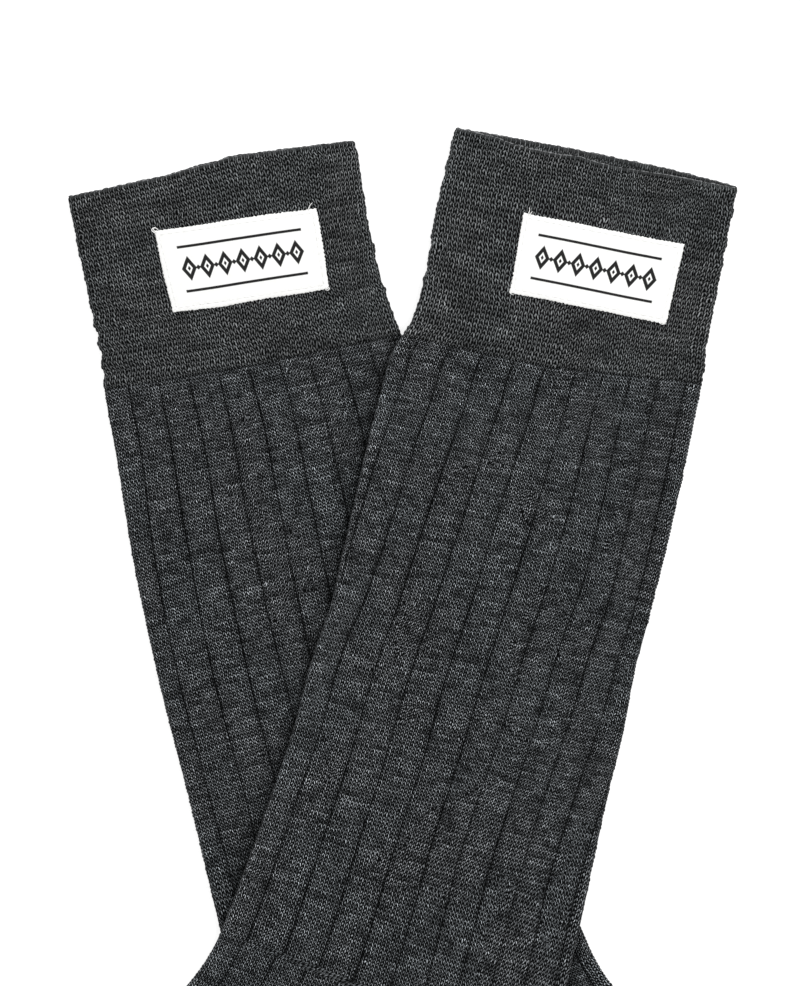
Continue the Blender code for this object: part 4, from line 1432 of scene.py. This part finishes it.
def add_label(plan, tag, seed, material):
    """One label as a closed thin tape with slightly uneven woven edges."""
    shares = (np.linspace(-0.5, 0.5, count + 1) for count in (LABEL_COLUMNS, LABEL_ROWS))
    x, y = (grid.ravel() for grid in np.meshgrid(*shares))
    forward, below = x * LABEL_WIDTH, y * LABEL_HEIGHT
    at_side = smooth_step((np.abs(x) - SIDE_STRIP[0]) / SIDE_STRIP[1])
    at_end = smooth_step((np.abs(y) - END_STRIP[0]) / END_STRIP[1])
    spots = list(zip(forward, below))
    loose = [noise.noise(Vector((a * LOOSE_RATE, b * LOOSE_RATE, seed + LOOSE_SEED))) for a, b in spots]
    loose = np.array(loose)
    scallop = np.abs(np.sin(math.pi * forward / SERRATION_PITCH)) - 0.5
    wave = np.abs(np.sin(math.pi * below / SERRATION_PITCH)) - 0.5
    slow_spots = [(a / BOW_LENGTH, b / BOW_LENGTH) for a, b in spots]
    bow = [[noise.noise(Vector((*spot, seed + apart))) for apart in BOW_SEEDS] for spot in slow_spots]
    bow = EDGE_BOW * np.array(bow)
    side_teeth = (SIDE_WAVE * wave + SIDE_LOOSE * loose) * SERRATION
    end_teeth = (scallop + END_LOOSE * loose) * SERRATION
    edge_forward = forward + bow[:, 0] + np.sign(x) * at_side * side_teeth
    edge_below = below + bow[:, 1] + np.sign(y) * at_end * end_teeth
    plane = label_place(plan, tag, edge_forward, edge_below)
    top = LABEL_TOP - label_surface(forward, below, seed)
    bottom = np.full_like(top, LABEL_BASE)
    size = len(top)
    points = np.vstack([np.column_stack([plane, top]), np.column_stack([plane, bottom])])

    stride = LABEL_COLUMNS + 1
    faces = []
    for i in range(LABEL_ROWS):
        for j in range(LABEL_COLUMNS):
            a = i * stride + j
            quad = (a, a + stride, a + stride + 1, a + 1)
            faces.append(quad)
            faces.append(tuple(size + index for index in quad[::-1]))
    rim = list(range(stride))
    rim += [i * stride + LABEL_COLUMNS for i in range(1, LABEL_ROWS + 1)]
    rim += [LABEL_ROWS * stride + j for j in range(LABEL_COLUMNS - 1, -1, -1)]
    rim += [i * stride for i in range(LABEL_ROWS - 1, 0, -1)]
    for a, b in zip(rim, rim[1:] + rim[:1]):
        faces.append((a, b, size + b, size + a))
    if plan.side < 0:
        faces = [face[::-1] for face in faces]
    piece = add_piece(plan.name + "_tape", points, faces, material)
    threads = piece.data.uv_layers.new(name="threads")
    corner = np.array([index for face in faces for index in face]) % size
    straight = np.column_stack([forward, below]) + bow * PATTERN_STRAIGHT
    threads.data.foreach_set("uv", straight[corner].astype(np.float32).ravel())
    return piece


def seam_stitches(plan, tag, seed, dice):
    """The white stitches that hold a label, all round."""
    half_width, half_height = LABEL_WIDTH / 2.0 - SEAM_INSET, LABEL_HEIGHT / 2.0 - SEAM_INSET
    signs = ((-1.0, -1.0), (1.0, -1.0), (1.0, 1.0), (-1.0, 1.0))
    corners = [(x * half_width, y * half_height) for x, y in signs]
    loops, shades = [], []
    for (x0, y0), (x1, y1) in zip(corners, corners[1:] + corners[:1]):
        length = math.hypot(x1 - x0, y1 - y0)
        count = round(length / SEAM_STITCH)
        for i in range(count):
            t = (i + 0.5) / count
            forward, below = np.array([x0 + (x1 - x0) * t]), np.array([y0 + (y1 - y0) * t])
            top = LABEL_TOP - label_surface(forward, below, seed)[0] + SEAM_THREAD[2] * SEAM_PROUD
            middle = label_place(plan, tag, forward, below)[0]
            onward = label_place(plan, tag, forward + (x1 - x0) / length, below + (y1 - y0) / length)[0]
            ahead = onward - middle
            along = np.array([*ahead, dice.uniform(*SEAM_SLANTS)])
            across = np.array([-ahead[1], ahead[0], 0.0])
            axes = (along * SEAM_THREAD[0], across * SEAM_THREAD[1], np.array([0.0, 0.0, SEAM_THREAD[2]]))
            loops.append((np.array([*middle, top]), axes))
            shades.append(dice.uniform(*SEAM_SHADES))
    return loops, shades


# Loose threads at the corners: how far each bend of each thread is in front of the label's middle and below
# it, in millimetres, and how the threads lie on the knit
LEFT_ENDS = (
    ((-24.6, -12.2), (-25.4, -13.1), (-24.9, -13.8), (-23.9, -13.6), (-23.3, -12.6)),
    ((-24.2, -12.3), (-24.9, -13.3), (-24.2, -13.9), (-23.6, -13.0)),
    ((22.5, -12.5), (22.8, -13.3), (23.2, -13.9), (23.9, -14.6)),
    ((24.4, 12.2), (25.1, 12.8), (24.5, 13.3), (23.6, 12.9)),
)
RIGHT_ENDS = (
    ((23.3, -12.3), (23.5, -13.2), (23.4, -14.0), (23.7, -14.8)),
    ((22.8, -12.3), (22.9, -13.0), (22.5, -13.8)),
    ((24.6, 12.3), (24.5, 12.9), (23.9, 13.2), (23.2, 13.3)),
    ((-24.6, 12.0), (-24.4, 12.9), (-23.7, 13.1), (-22.8, 12.8)),
)
END_HALF = 0.19
END_SIDES = 7
END_BENDS = 12
END_SUNK = 0.15
END_RISE = 0.2


def loose_ends(plan, tag, ends):
    """The paths of one label's loose threads, which lie on the knit."""
    paths = []
    for end in ends:
        table = [(i, *point) for i, point in enumerate(end)]
        at = np.linspace(0.0, len(end) - 1.0, END_BENDS)
        plane = label_place(plan, tag, between(table, at, 1), between(table, at, 2))
        height = LABEL_TOP - END_SUNK + END_RISE * np.sin(math.pi * at / (len(end) - 1.0))
        paths.append(np.column_stack([plane, height]))
    return paths


tape = woven_tape()
thread_white = yarn("white thread", dark=(0.78, 0.78, 0.76), light=(0.93, 0.93, 0.92))
for plan, tag, ends, seed in ((LEFT, LEFT_TAG, LEFT_ENDS, 31), (RIGHT, RIGHT_TAG, RIGHT_ENDS, 32)):
    label = add_label(plan, tag, float(seed), tape)
    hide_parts(plan.name + "_label")
    loops, shades = seam_stitches(plan, tag, float(seed), random.Random(seed))
    seam = add_loops(plan.name + "_label_seam", loops, shades, thread_white)
    paths = loose_ends(plan, tag, ends)
    plain = [1.0] * len(paths)
    tails = add_threads(plan.name + "_label_ends", paths, END_HALF, END_SIDES, plain, thread_white)
    for piece in (label, seam, tails):
        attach(piece, "root")
